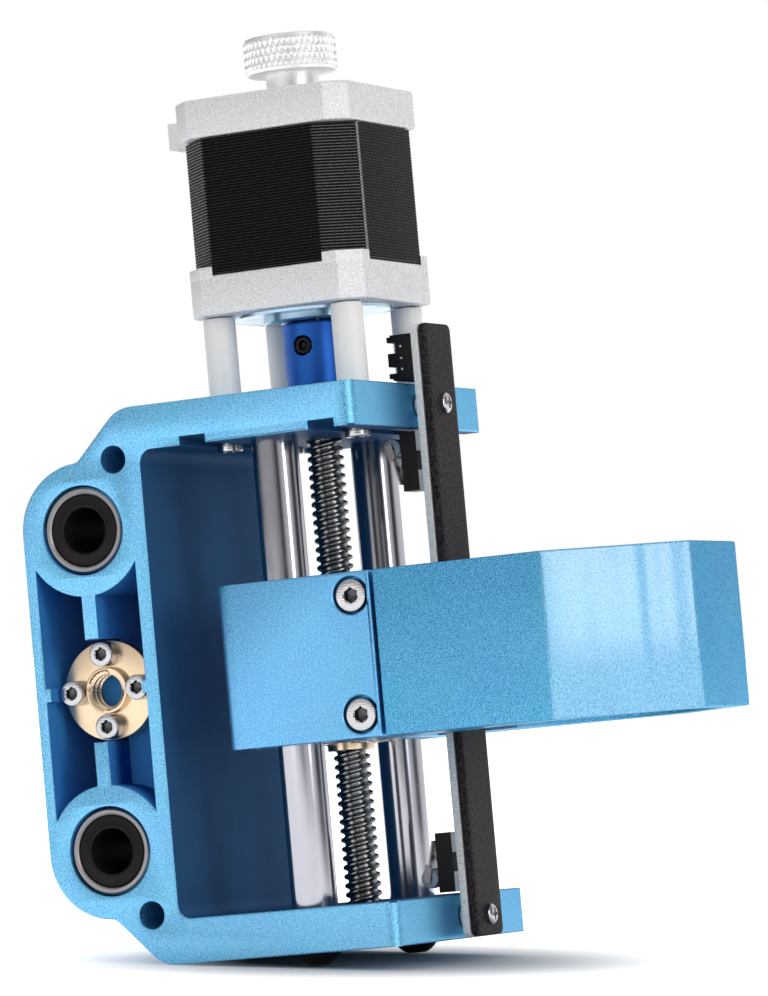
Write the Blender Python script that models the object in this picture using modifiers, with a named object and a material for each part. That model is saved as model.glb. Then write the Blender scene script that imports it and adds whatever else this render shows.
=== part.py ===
"""Z-axis module of a small desktop CNC router.

A one-piece extruded frame carries a stepper motor on four standoffs, a lead screw and two guide rods.
A carriage with a ring clamp for the spindle runs on the rods, between two limit switches on a narrow board.
The frame slides on the machine's X rods through the two bearing bores at its back.

Lengths are in millimetres below and become metres in mm(). X runs along the extrusion, -Y is the spindle side
and +Z is up. Everything is drawn about the point where the lead screw's axis meets the underside of the lower
arm. The STAND empty then lifts the module onto its two lower screw heads and centres it over the origin.
"""
import math

import bmesh
import bpy
from mathutils import Matrix, Vector

# Clearance between pieces that touch on the real product
GAP = 0.3

# Frame extrusion
FRAME_LENGTH = 68.0
FRAME_HEIGHT = 121.5
ARM_THICKNESS = 9.75
ARM_FRONT = -23.4
THROAT_BACK = 28.6
THROAT_FILLET = 3.0
ARM_CORNER_RADIUS = 3.0
ARM_EDGE = 0.4
FRONT_WEB = 3.2
REAR_WEB = 2.4
X_AXIS_Y = 44.0
X_AXIS_FROM_END = 25.65
LOBE_RADIUS = 14.8
LOBE_ARC_END = 84.0
HOUSING_WALL = 4.7
SHOULDER_Y = 33.2
SHOULDER_RADIUS = 8.0
SHOULDER_FILLET = 3.0
RIB_THICKNESS = 3.4
STUB_THICKNESS = 3.0
NUT_BOSS_RADIUS = 10.6
CORE_HOLE_DIAMETER = 6.0
CORE_HOLE_Y = 35.1
CORE_HOLE_FROM_END = 11.05
GROOVE_WIDTH = 6.2
GROOVE_DEPTH = 1.9

# Linear bearings, the same size on the X rods and on the Z rods
BEARING_DIAMETER = 19.0
BEARING_LENGTH = 29.0
BEARING_SHELL = 1.5
SEAL_RECESS = 0.6
ROD_DIAMETER = 10.0
ROD_CLEARANCE = 0.1
X_BEARING_INSET = 0.6

# Guide rods
ROD_FROM_END = 9.0
UPPER_ROD_SEAT = 7.0
LOWER_ROD_SEAT = 6.0
ROD_SCREW_SHANK = 5.0
ROD_SCREW_HEAD = 9.5
ROD_SCREW_HEAD_HEIGHT = 2.75
ROD_SCREW_LENGTH = 12.0
ROD_TAP_RUNOUT = 1.0
DOME_FACETS = 6

# Lead screw, its lower bearing and its nuts
SCREW_DIAMETER = 8.0
SCREW_BEARING_DIAMETER = 16.0
SCREW_BEARING_WIDTH = 5.0
SCREW_WELL_DIAMETER = 11.0
SCREW_FLOOR = 3.0
NUT_FLANGE_DIAMETER = 22.0
NUT_FLANGE_THICKNESS = 3.5
NUT_BODY_DIAMETER = 10.2
NUT_BODY_LENGTH = 10.0
NUT_LIP_LENGTH = 1.6
NUT_SCREW_CIRCLE = 16.0
NUT_SCREW_COUNT = 4
NUT_SCREW_LENGTH = 6.0
NUT_HEAD_SINK = 0.5
NUT_CLEARANCE = 0.1
Z_NUT_HEAD_HEIGHT = 0.4
Z_NUT_SCREW_ANGLE = math.pi / 4
X_NUT_RECESS = 6.5

# Motor, standoffs and hand knob
MOTOR_WIDTH = 42.3
MOTOR_CHAMFER = 4.5
MOTOR_HOLE_OFFSET = 15.5
STANDOFF_LENGTH = 18.2
STANDOFF_DIAMETER = 7.0
FRONT_BELL_HEIGHT = 8.9
BELL_POST_HEIGHT = 1.9
STATOR_HEIGHT = 29.7
STATOR_CHAMFER = 7.5
STATOR_BORE = 26.0
ROTOR_CLEARANCE = 0.5
REAR_BELL_HEIGHT = 8.6
PILOT_DIAMETER = 22.0
PILOT_HEIGHT = 2.0
FACE_DISC_DIAMETER = 35.0
FACE_DISC_HEIGHT = 0.6
MOTOR_SHAFT_DIAMETER = 5.0
MOTOR_BEARING_DIAMETER = 16.0
MOTOR_BEARING_WIDTH = 5.0
MOTOR_BEARING_DEPTH = 1.0
MOTOR_BEARING_LIP = 2.0
PILOT_WALL = 4.0
ROTOR_INSET = 1.0
SHAFT_HOLE_CLEARANCE = 1.0
CONNECTOR_WIDTH = 16.0
CONNECTOR_HEIGHT = 5.8
CONNECTOR_REACH = 6.6
CONNECTOR_DEPTH = 9.0
CONNECTOR_WALL = 0.9
CONNECTOR_PINS = 6
CONNECTOR_PIN_PITCH = 2.0
CONNECTOR_PIN_SIZE = 0.5
CONNECTOR_PIN_SINK = 1.5
CONNECTOR_FLOOR = 2.4
KNOB_DIAMETER = 20.5
KNOB_HEIGHT = 8.2
KNOB_NECK_DIAMETER = 11.6
KNOB_NECK_LENGTH = 5.0
KNOB_ROOF = 2.0
COUPLING_DIAMETER = 14.0
COUPLING_LENGTH = 25.0
COUPLING_HOLE_CLEARANCE = 1.2
COUPLING_SET_DEPTH = 5.2
SHAFT_END_GAP = 1.5
COUPLING_SCREW_GRIP = 11.5
SET_SCREW_SINK = 0.4

# M3 cap screws that hold the motor
M3_SHANK = 3.0
M3_HEAD = 5.5
M3_HEAD_HEIGHT = 3.0
MOTOR_THREAD_DEPTH = 4.0

# Carriage and spindle clamp
CARRIAGE_OVERHANG = 3.2
CARRIAGE_BACK = 12.5
CARRIAGE_CORNER = 5.0
CARRIAGE_BOTTOM = 44.75
CARRIAGE_HEIGHT = 35.6
SEAM_Y = -25.1
SEAM_WIDTH = 1.5
SEAM_EDGE = 0.5
CHEEK_THICKNESS = 7.0
WINDOW_BACK = -16.0
WINDOW_WIDTH = 20.0
SPINDLE_DIAMETER = 52.0
SPINDLE_Y = -60.0
CLAMP_FRONT = -89.5
CLAMP_CHAMFER = 24.2
CLAMP_SCREW_Y = -20.5
CLAMP_SCREW_SPACING = 25.5
M4_SHANK = 4.0
M4_HEAD = 7.0
M4_HEAD_HEIGHT = 4.0
M4_COUNTERBORE = 8.3
M4_COUNTERBORE_DEPTH = 4.4
M4_LENGTH = 16.0

# Limit-switch board
BOARD_WIDTH = 13.5
BOARD_BOTTOM = 0.35
BOARD_ABOVE_FRAME = 12.65
BOARD_THICKNESS = 1.6
BOARD_CORNER = 1.6
COVER_THICKNESS = 1.7
SPACER_LENGTH = 2.4
SPACER_DIAMETER = 5.0
BOARD_SCREW_HEAD = 4.4
BOARD_SCREW_HEAD_HEIGHT = 1.4
BOARD_SCREW_LENGTH = 7.0
BOARD_SCREW_CROWN = 3.1
HEADER_WIDTH = 11.0
HEADER_HEIGHT = 10.0
HEADER_DEPTH = 6.0
HEADER_ABOVE_ARM = 0.8
HEADER_SLOTS = 4
HEADER_SLOT_WIDTH = 1.2
HEADER_WALL = 1.0

# Micro switches
SWITCH_LENGTH = 13.0
SWITCH_WIDTH = 6.0
SWITCH_DEPTH = 3.8
SWITCH_FOOT_DEPTH = 2.4
SWITCH_FOOT_LENGTH = 4.4
SWITCH_FOOT_INSET = 0.2
SWITCH_INSET = 0.6
LEVER_THICKNESS = 0.4
LEVER_WIDTH = 5.4
FORK_DEPTH = 1.6
FORK_OFFSET = 0.4
FORK_OVERLAP = 0.6
FORK_END = 1.0
LEVER_HINGE_INSET = 1.6
LEVER_HINGE_STANDOFF = 0.9
ROLLER_DIAMETER = 4.2
ROLLER_WIDTH = 3.0
ROLLER_FROM_END = 3.2
ROLLER_STANDOFF = 2.75
ROLLER_PIN = 1.0
ROLLER_CLEARANCE = 0.1
PLUNGER_DIAMETER = 1.4
PLUNGER_FROM_HINGE = 4.0
PLUNGER_DEPTH = 1.5
PLUNGER_TRAVEL = 0.3
PLUNGER_CLEARANCE = 0.4

# Finish and drawing
TURNED_EDGE = 0.6
OVERCUT = 1.0

# Sizes that follow from the ones above
MID_Z = FRAME_HEIGHT / 2
X_BEARING_SPACING = FRAME_HEIGHT - 2 * X_AXIS_FROM_END
ROD_X = FRAME_LENGTH / 2 - ROD_FROM_END
CARRIAGE_WIDTH = FRAME_LENGTH + 2 * CARRIAGE_OVERHANG
UPPER_ARM_BOTTOM = FRAME_HEIGHT - ARM_THICKNESS
X_BEARINGS_Z = (MID_Z + X_BEARING_SPACING / 2, MID_Z - X_BEARING_SPACING / 2)
X_BORE_RADIUS = BEARING_DIAMETER / 2 + GAP
CAVITY_RADIUS = X_BORE_RADIUS + HOUSING_WALL
FRAME_BACK = X_AXIS_Y + LOBE_RADIUS
CAVITY_FRONT = THROAT_BACK + FRONT_WEB
CAVITY_BACK = FRAME_BACK - REAR_WEB
MOTOR_FACE = FRAME_HEIGHT + STANDOFF_LENGTH + GAP
STATOR_BOTTOM = MOTOR_FACE + FRONT_BELL_HEIGHT + GAP
REAR_BELL_BOTTOM = STATOR_BOTTOM + STATOR_HEIGHT + GAP
MOTOR_TOP = REAR_BELL_BOTTOM + REAR_BELL_HEIGHT
COUPLING_TOP = MOTOR_FACE - PILOT_HEIGHT - GAP
COUPLING_BOTTOM = COUPLING_TOP - COUPLING_LENGTH
SCREW_TOP = COUPLING_BOTTOM + COUPLING_SCREW_GRIP
COUPLING_HOLE = COUPLING_DIAMETER + 2 * COUPLING_HOLE_CLEARANCE
KNOB_BOTTOM = MOTOR_TOP + GAP
KNOB_BODY_BOTTOM = KNOB_BOTTOM + KNOB_NECK_LENGTH
KNOB_TOP = KNOB_BODY_BOTTOM + KNOB_HEIGHT
CARRIAGE_TOP = CARRIAGE_BOTTOM + CARRIAGE_HEIGHT
CARRIAGE_MID = (CARRIAGE_TOP + CARRIAGE_BOTTOM) / 2
CLAMP_BACK = SEAM_Y - SEAM_WIDTH
TONGUE_OUTER = CARRIAGE_WIDTH / 2 - CHEEK_THICKNESS - GAP
BOARD_BACK = ARM_FRONT - SPACER_LENGTH - GAP
BOARD_FRONT = BOARD_BACK - BOARD_THICKNESS
COVER_BACK = BOARD_FRONT - GAP
COVER_FRONT = COVER_BACK - COVER_THICKNESS
ARM_MIDDLES_Z = (ARM_THICKNESS / 2, FRAME_HEIGHT - ARM_THICKNESS / 2)
SWITCH_FRONT = BOARD_BACK + GAP + SWITCH_FOOT_DEPTH
SWITCH_BACK = SWITCH_FRONT + SWITCH_DEPTH
NUT_BORE = SCREW_DIAMETER + 2 * NUT_CLEARANCE
NUT_HOUSING_BORE = NUT_BODY_DIAMETER + 2 * GAP
X_NUT_SEAT = (-FRAME_LENGTH / 2 + X_NUT_RECESS + NUT_FLANGE_THICKNESS, X_AXIS_Y, MID_Z)
Z_NUT_SEAT = (0, 0, CARRIAGE_BOTTOM + NUT_FLANGE_THICKNESS)
STAND_Y = -(FRAME_BACK + CLAMP_FRONT) / 2
STAND_Z = GAP + ROD_SCREW_HEAD_HEIGHT

# Facets on a full circle
ROUND = 24
SMALL = 12

# Rotations that take a shape drawn along Z to another axis
ALONG_X = Matrix(((0, 0, 1), (1, 0, 0), (0, 1, 0))).to_4x4()
ALONG_Y = Matrix(((0, 1, 0), (0, 0, 1), (1, 0, 0))).to_4x4()
ALONG_Z = Matrix.Identity(4)
FLIP = Matrix.Rotation(math.pi, 4, "X")
X_NUT_TURN = ALONG_X @ FLIP


def mm(value):
    return value * 0.001


def clear_scene():
    for old in list(bpy.data.objects):
        bpy.data.objects.remove(old, do_unlink=True)


def new_collection(name):
    collection = bpy.data.collections.new(name)
    bpy.context.scene.collection.children.link(collection)
    return collection


clear_scene()
MODULE = new_collection("cnc_z_axis_module")
CUTTERS = new_collection("cutters")


def hang(child, parent):
    """Parent an object and keep it where it is drawn. STAND alone moves what it carries."""
    child.parent = parent
    if parent != STAND:
        child.matrix_parent_inverse = Matrix.Translation(-parent.location)


def joint_empty(name, at, parent):
    """An empty on a joint's axis, which carries the pieces that move with the joint."""
    empty = bpy.data.objects.new(name, None)
    empty.location = [mm(c) for c in at]
    MODULE.objects.link(empty)
    hang(empty, parent)
    return empty


STAND = bpy.data.objects.new("stand", None)
STAND.location = (0, mm(STAND_Y), mm(STAND_Z))
MODULE.objects.link(STAND)
TRAVEL = joint_empty("z_travel", (0, 0, (CARRIAGE_BOTTOM + CARRIAGE_TOP) / 2), STAND)
DRIVE = joint_empty("screw_spin", (0, 0, MID_Z), STAND)


def material(name, color, roughness, metallic):
    result = bpy.data.materials.new(name)
    result.use_nodes = True
    shader = result.node_tree.nodes["Principled BSDF"]
    shader.inputs["Base Color"].default_value = (*color, 1.0)
    shader.inputs["Roughness"].default_value = roughness
    shader.inputs["Metallic"].default_value = metallic
    return result


BLUE = material("blue_anodised", (0.11, 0.40, 0.66), 0.42, 0.75)
DEEP_BLUE = material("coupling_blue", (0.02, 0.08, 0.38), 0.35, 0.7)
STEEL = material("polished_steel", (0.72, 0.73, 0.75), 0.14, 1.0)
DARK_STEEL = material("dark_steel", (0.22, 0.22, 0.23), 0.3, 1.0)
BLACK_OXIDE = material("black_oxide", (0.02, 0.02, 0.022), 0.4, 0.8)
BRASS = material("brass", (0.62, 0.43, 0.22), 0.3, 1.0)
CAST_ALUMINIUM = material("cast_aluminium", (0.62, 0.62, 0.62), 0.5, 0.9)
LAMINATION = material("lamination", (0.012, 0.011, 0.012), 0.4, 0.5)
BRIGHT_ALUMINIUM = material("bright_aluminium", (0.8, 0.8, 0.8), 0.25, 1.0)
WHITE_PLASTIC = material("white_plastic", (0.82, 0.8, 0.79), 0.45, 0.0)
BLACK_PLASTIC = material("black_plastic", (0.02, 0.02, 0.022), 0.45, 0.0)
BOARD_GREY = material("board_edge", (0.42, 0.45, 0.44), 0.6, 0.0)
GREY_PLASTIC = material("grey_plastic", (0.45, 0.48, 0.5), 0.5, 0.0)


def tidy(mesh):
    """Weld the mesh, point its faces out and shade it smooth between sharp edges."""
    work = bmesh.new()
    work.from_mesh(mesh)
    bmesh.ops.remove_doubles(work, verts=work.verts, dist=1e-6)
    bmesh.ops.recalc_face_normals(work, faces=work.faces)
    work.to_mesh(mesh)
    work.free()
    mesh.shade_smooth()
    mesh.set_sharp_from_angle(angle=math.radians(32))
    return mesh


def bake(source, matrix):
    """The evaluated mesh of a curve or of an object with modifiers, moved by the matrix."""
    bpy.context.view_layer.update()
    evaluated = source.evaluated_get(bpy.context.evaluated_depsgraph_get())
    mesh = bpy.data.meshes.new_from_object(evaluated)
    mesh.transform(matrix)
    bpy.data.objects.remove(source, do_unlink=True)
    return tidy(mesh)


def prism(loops, low, high, turn=ALONG_Z):
    """A flat outline with holes, drawn in millimetres and extruded from low to high."""
    curve = bpy.data.curves.new("outline", "CURVE")
    curve.dimensions = "2D"
    curve.fill_mode = "BOTH"
    curve.extrude = mm(high - low) / 2
    for loop in loops:
        spline = curve.splines.new("POLY")
        spline.points.add(len(loop) - 1)
        spline.use_cyclic_u = True
        for point, (u, v) in zip(spline.points, loop):
            point.co = (mm(u), mm(v), 0, 1)
    holder = bpy.data.objects.new("outline", curve)
    MODULE.objects.link(holder)
    return bake(holder, turn @ Matrix.Translation((0, 0, mm(low + high) / 2)))


def turned(profile, at, turn=ALONG_Z, steps=ROUND):
    """A turned solid. The profile lists (radius, height); it is a ring unless it starts on the axis."""
    mesh = bpy.data.meshes.new("profile")
    points = [(mm(radius), 0, mm(height)) for radius, height in profile]
    edges = [(i, i + 1) for i in range(len(points) - 1)]
    if profile[0][0] > 0:
        edges.append((len(points) - 1, 0))
    mesh.from_pydata(points, edges, [])
    holder = bpy.data.objects.new("profile", mesh)
    MODULE.objects.link(holder)
    screw = holder.modifiers.new("turn", "SCREW")
    screw.steps = steps
    screw.render_steps = steps
    screw.use_merge_vertices = True
    screw.merge_threshold = 1e-6
    return bake(holder, Matrix.Translation(Vector([mm(c) for c in at])) @ turn)


def rod(diameter, low, high, at, turn=ALONG_Z, steps=ROUND):
    radius = diameter / 2
    return turned([(0, high), (radius, high), (radius, low), (0, low)], at, turn, steps)


def tube(outer, inner, low, high, at, turn=ALONG_Z, steps=ROUND):
    return turned([(outer / 2, high), (outer / 2, low), (inner / 2, low), (inner / 2, high)], at, turn, steps)


def block(size, centre):
    work = bmesh.new()
    bmesh.ops.create_cube(work, size=1.0)
    bmesh.ops.scale(work, vec=[mm(c) for c in size], verts=work.verts)
    bmesh.ops.translate(work, vec=[mm(c) for c in centre], verts=work.verts)
    mesh = bpy.data.meshes.new("block")
    work.to_mesh(mesh)
    work.free()
    return mesh


def node(name, mesh, look, carrier=STAND):
    """One named object on the empty that carries it."""
    mesh.materials.append(look)
    result = bpy.data.objects.new(name, mesh)
    MODULE.objects.link(result)
    hang(result, carrier)
    return result


def nodes(name, meshes, look, carrier=STAND):
    """One numbered object for each copy of a repeated piece."""
    for i, mesh in enumerate(meshes):
        node(f"{name}_{i + 1}", mesh, look, carrier)


def boolean(target, meshes, operation="DIFFERENCE"):
    for mesh in meshes:
        cutter = bpy.data.objects.new(f"{target.name}_cutter", mesh)
        cutter.hide_render = True
        cutter.display_type = "WIRE"
        CUTTERS.objects.link(cutter)
        hang(cutter, target.parent)
        modifier = target.modifiers.new("cut", "BOOLEAN")
        modifier.operation = operation
        modifier.object = cutter


def arc(centre, radius, start, end, count):
    """Points on an arc, with angles in degrees."""
    points = []
    for i in range(count + 1):
        angle = math.radians(start + (end - start) * i / count)
        points.append((centre[0] + radius * math.cos(angle), centre[1] + radius * math.sin(angle)))
    return points


def rounded(corners, count=5):
    """An outline whose corners (u, v, radius) are replaced by tangent arcs."""
    outline = []
    total = len(corners)
    for i, (u, v, radius) in enumerate(corners):
        here = Vector((u, v))
        if radius == 0:
            outline.append((u, v))
            continue
        before = (Vector(corners[i - 1][:2]) - here).normalized()
        after = (Vector(corners[(i + 1) % total][:2]) - here).normalized()
        half = before.angle(after) / 2
        centre = here + (before + after).normalized() * (radius / math.sin(half))
        first = here + before * (radius / math.tan(half)) - centre
        last = here + after * (radius / math.tan(half)) - centre
        sweep = first.angle_signed(last)
        for k in range(count + 1):
            spoke = first.copy()
            spoke.rotate(Matrix.Rotation(-sweep * k / count, 2))
            outline.append(tuple(centre + spoke))
    return outline


def rectangle(u_low, u_high, v_low, v_high, radius=0):
    corners = ((u_low, v_low), (u_high, v_low), (u_high, v_high), (u_low, v_high))
    return rounded([(u, v, radius) for u, v in corners])


def chamfered_square(width, chamfer):
    half = width / 2
    cut = half - chamfer
    return [(half, cut), (cut, half), (-cut, half), (-half, cut),
            (-half, -cut), (-cut, -half), (cut, -half), (half, -cut)]


def mirrored_z(points):
    """The outline's other half, mirrored about mid height and in the opposite order."""
    return [(y, FRAME_HEIGHT - z, *rest) for y, z, *rest in reversed(points)]


# The frame extrusion

def frame_outline():
    """The profile in (Y, Z): a C with two arms, and the two bearing lobes behind it."""
    lobe_centre = (X_AXIS_Y, X_BEARINGS_Z[0])
    lobe_top = lobe_centre[1] + LOBE_RADIUS
    foot_of_shoulder = SHOULDER_Y + FRAME_HEIGHT - lobe_top
    grooves = []
    for groove_y in (-MOTOR_HOLE_OFFSET, MOTOR_HOLE_OFFSET):
        front, back = groove_y - GROOVE_WIDTH / 2, groove_y + GROOVE_WIDTH / 2
        grooves += [(front, UPPER_ARM_BOTTOM, 0), (front, UPPER_ARM_BOTTOM + GROOVE_DEPTH, 0),
                    (back, UPPER_ARM_BOTTOM + GROOVE_DEPTH, 0), (back, UPPER_ARM_BOTTOM, 0)]
    lobe = [(y, z, 0) for y, z in arc(lobe_centre, LOBE_RADIUS, 0, LOBE_ARC_END, 12)]
    back_and_top = lobe + [(foot_of_shoulder, lobe_top, SHOULDER_FILLET),
                           (SHOULDER_Y, FRAME_HEIGHT, SHOULDER_RADIUS)]
    lower_back = mirrored_z(back_and_top)
    front = [(ARM_FRONT, FRAME_HEIGHT, ARM_EDGE), (ARM_FRONT, UPPER_ARM_BOTTOM, ARM_EDGE)]
    throat = [(THROAT_BACK, UPPER_ARM_BOTTOM, THROAT_FILLET), (THROAT_BACK, ARM_THICKNESS, THROAT_FILLET)]
    lower_front = mirrored_z(front)
    return rounded(back_and_top + front + grooves + throat + lower_front + lower_back)


def cavity_quarter(side_y, side_z):
    """One of the four pockets between the webs, the ribs, the nut boss and a bearing housing."""
    web = (CAVITY_BACK if side_y > 0 else CAVITY_FRONT) - X_AXIS_Y
    rib = side_y * RIB_THICKNESS / 2
    stub = STUB_THICKNESS / 2
    housing = X_BEARING_SPACING / 2
    web_end = housing - math.sqrt(CAVITY_RADIUS ** 2 - web ** 2)
    start = math.degrees(math.asin(abs(web) / CAVITY_RADIUS))
    end = math.degrees(math.asin(RIB_THICKNESS / 2 / CAVITY_RADIUS))
    points = [(web, stub), (web, web_end)]
    for i in range(1, 9):
        angle = math.radians(start + (end - start) * i / 8)
        points.append((side_y * CAVITY_RADIUS * math.sin(angle), housing - CAVITY_RADIUS * math.cos(angle)))
    first = math.degrees(math.acos(RIB_THICKNESS / 2 / NUT_BOSS_RADIUS))
    last = math.degrees(math.asin(stub / NUT_BOSS_RADIUS))
    points.append((rib, NUT_BOSS_RADIUS * math.sin(math.radians(first))))
    for i in range(1, 9):
        angle = math.radians(first + (last - first) * i / 8)
        points.append((side_y * NUT_BOSS_RADIUS * math.cos(angle), NUT_BOSS_RADIUS * math.sin(angle)))
    return [(X_AXIS_Y + y, MID_Z + side_z * z) for y, z in points]


def frame_holes():
    """Inner loops of the profile: bearing bores, core holes, pockets and the nut's bore."""
    loops = []
    for z in X_BEARINGS_Z:
        loops.append(arc((X_AXIS_Y, z), X_BORE_RADIUS, 0, 360 - 360 / ROUND, ROUND - 1))
    for side in (-1, 1):
        centre = (CORE_HOLE_Y, MID_Z + side * (MID_Z - CORE_HOLE_FROM_END))
        loops.append(arc(centre, CORE_HOLE_DIAMETER / 2, 0, 360 - 360 / SMALL, SMALL - 1))
        loops += [cavity_quarter(-1, side), cavity_quarter(1, side)]
    loops.append(arc((X_AXIS_Y, MID_Z), NUT_HOUSING_BORE / 2, 0, 360 - 360 / ROUND, ROUND - 1))
    return loops


def build_frame():
    half = FRAME_LENGTH / 2
    solid = prism([frame_outline()] + frame_holes(), -half, half, ALONG_X)
    frame = node("frame_extrusion", solid, BLUE)
    plan = rounded([(-half, ARM_FRONT, ARM_CORNER_RADIUS), (half, ARM_FRONT, ARM_CORNER_RADIUS),
                    (half, FRAME_BACK + OVERCUT, 0), (-half, FRAME_BACK + OVERCUT, 0)], 6)
    boolean(frame, [prism([plan], -OVERCUT, FRAME_HEIGHT + OVERCUT)], "INTERSECT")
    pocket_depth = X_NUT_RECESS + NUT_FLANGE_THICKNESS + GAP
    pocket_centre = (0, X_AXIS_Y, MID_Z)
    cuts = [rod(NUT_FLANGE_DIAMETER + 2 * GAP, -half - OVERCUT, -half + pocket_depth, pocket_centre, ALONG_X)]
    for x in (-ROD_X, ROD_X):
        upper_seat = UPPER_ARM_BOTTOM + UPPER_ROD_SEAT
        cuts.append(rod(ROD_DIAMETER + 2 * GAP, UPPER_ARM_BOTTOM - OVERCUT, upper_seat, (x, 0, 0)))
        lower_seat = ARM_THICKNESS - LOWER_ROD_SEAT
        cuts.append(stepped_hole(ROD_DIAMETER, ROD_SCREW_SHANK, lower_seat, -OVERCUT, x))
    bearing_seat = ARM_THICKNESS - SCREW_BEARING_WIDTH - GAP
    cuts.append(stepped_hole(SCREW_BEARING_DIAMETER, SCREW_WELL_DIAMETER, bearing_seat, SCREW_FLOOR, 0))
    cuts.append(rod(COUPLING_HOLE, UPPER_ARM_BOTTOM - OVERCUT, FRAME_HEIGHT + OVERCUT, (0, 0, 0)))
    for x, y in motor_hole_places():
        cuts.append(rod(M3_SHANK + 2 * GAP, UPPER_ARM_BOTTOM, FRAME_HEIGHT + OVERCUT, (x, y, 0), steps=SMALL))
    for z in ARM_MIDDLES_Z:
        hole_end = ARM_FRONT + BOARD_SCREW_LENGTH + OVERCUT
        cuts.append(rod(M3_SHANK + 2 * GAP, ARM_FRONT - OVERCUT, hole_end, (0, 0, z), ALONG_Y, SMALL))
    boolean(frame, cuts + nut_screw_pockets(X_NUT_SEAT, X_NUT_TURN))


def stepped_hole(wide, narrow, seat, bottom, x):
    """A pocket in the lower arm's top with a narrower hole below its seat."""
    outer, inner, top = wide / 2 + GAP, narrow / 2 + GAP, ARM_THICKNESS + OVERCUT
    profile = [(0, top), (outer, top), (outer, seat), (inner, seat), (inner, bottom), (0, bottom)]
    return turned(profile, (x, 0, 0))


def motor_hole_places():
    sides = (-MOTOR_HOLE_OFFSET, MOTOR_HOLE_OFFSET)
    return [(x, y) for x in sides for y in sides]


# Linear bearings

def linear_bearing(at, turn):
    """A steel shell with its seals set in a little from both ends."""
    half, seal = BEARING_LENGTH / 2, BEARING_LENGTH / 2 - SEAL_RECESS
    outer, inner, bore = BEARING_DIAMETER / 2, BEARING_DIAMETER / 2 - BEARING_SHELL, ROD_DIAMETER / 2 + ROD_CLEARANCE
    profile = [(inner, half), (outer, half), (outer, -half), (inner, -half),
               (inner, -seal), (bore, -seal), (bore, seal), (inner, seal)]
    return turned(profile, at, turn)


def build_bearings():
    centre_x = FRAME_LENGTH / 2 - X_BEARING_INSET - BEARING_LENGTH / 2
    places = [(x, X_AXIS_Y, z) for x in (-centre_x, centre_x) for z in X_BEARINGS_Z]
    nodes("x_bearing", [linear_bearing(at, ALONG_X) for at in places], STEEL)
    places = [(x, 0, CARRIAGE_MID) for x in (-ROD_X, ROD_X)]
    nodes("z_bearing", [linear_bearing(at, ALONG_Z) for at in places], STEEL, TRAVEL)


# Lead-screw nuts, drawn with the lip up and the flange's seat at height 0

def nut_body():
    flange, body = NUT_FLANGE_DIAMETER / 2, NUT_BODY_DIAMETER / 2
    top = NUT_FLANGE_THICKNESS + NUT_LIP_LENGTH
    return [(body, top), (body, NUT_FLANGE_THICKNESS), (flange, NUT_FLANGE_THICKNESS), (flange, 0), (body, 0),
            (body, -NUT_BODY_LENGTH), (NUT_BORE / 2, -NUT_BODY_LENGTH), (NUT_BORE / 2, top)]


def around_nut(profile, at, turn, first_angle):
    """The same turned shape at each of the nut's screw places."""
    placed = Matrix.Translation(Vector(at)) @ turn
    solids = []
    for i in range(NUT_SCREW_COUNT):
        angle = first_angle + math.tau * i / NUT_SCREW_COUNT
        radius = NUT_SCREW_CIRCLE / 2
        centre = placed @ Vector((radius * math.cos(angle), radius * math.sin(angle), 0))
        solids.append(turned(profile, centre, turn, SMALL))
    return solids


def build_nut(name, at, turn, head_height, first_angle=0.0, carrier=STAND):
    """A flanged nut with its four screws tightened onto it, so that they make one solid."""
    nut = node(name, turned(nut_body(), at, turn), BRASS, carrier)
    head, shank, top = M3_HEAD / 2, M3_SHANK / 2, NUT_FLANGE_THICKNESS + head_height
    under = NUT_FLANGE_THICKNESS - NUT_HEAD_SINK
    profile = [(0, top), (head, top), (head, under), (shank, under), (shank, -NUT_SCREW_LENGTH), (0, -NUT_SCREW_LENGTH)]
    boolean(nut, around_nut(profile, at, turn, first_angle), "UNION")


def nut_screw_pockets(at, turn, first_angle=0.0):
    """The tapped holes that a nut's screws enter."""
    radius, depth = M3_SHANK / 2 + GAP, NUT_SCREW_LENGTH + GAP
    profile = [(0, OVERCUT), (radius, OVERCUT), (radius, -depth), (0, -depth)]
    return around_nut(profile, at, turn, first_angle)


# Guide rods and their end screws

def build_rods():
    low = ARM_THICKNESS - LOWER_ROD_SEAT + GAP
    high = UPPER_ARM_BOTTOM + UPPER_ROD_SEAT - GAP
    radius, bevel = ROD_DIAMETER / 2, TURNED_EDGE
    tap_depth = ROD_SCREW_LENGTH + ROD_TAP_RUNOUT
    tap = ROD_SCREW_SHANK / 2 + GAP
    profile = [(0, high), (radius - bevel, high), (radius, high - bevel), (radius, low + bevel),
               (radius - bevel, low), (tap, low), (tap, low + tap_depth), (0, low + tap_depth)]
    for name, x in (("guide_rod_left", -ROD_X), ("guide_rod_right", ROD_X)):
        node(name, turned(profile, (x, 0, 0)), STEEL)
    head, shank = ROD_SCREW_HEAD / 2, ROD_SCREW_SHANK / 2
    dome = []
    dome_radius = (head ** 2 + ROD_SCREW_HEAD_HEIGHT ** 2) / (2 * ROD_SCREW_HEAD_HEIGHT)
    for i in range(DOME_FACETS):
        radius = head * (1 - i / DOME_FACETS)
        sag = dome_radius - math.sqrt(dome_radius ** 2 - radius ** 2)
        dome.append((radius, -GAP - ROD_SCREW_HEAD_HEIGHT + sag))
    profile = [(0, ROD_SCREW_LENGTH), (shank, ROD_SCREW_LENGTH), (shank, -GAP)] + dome
    profile.append((0, -GAP - ROD_SCREW_HEAD_HEIGHT))
    screws = [turned(profile, (x, 0, 0), steps=20) for x in (-ROD_X, ROD_X)]
    nodes("rod_end_screw", screws, BLACK_OXIDE)


# Lead screw, its bearing, the coupling and what turns with them

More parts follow.
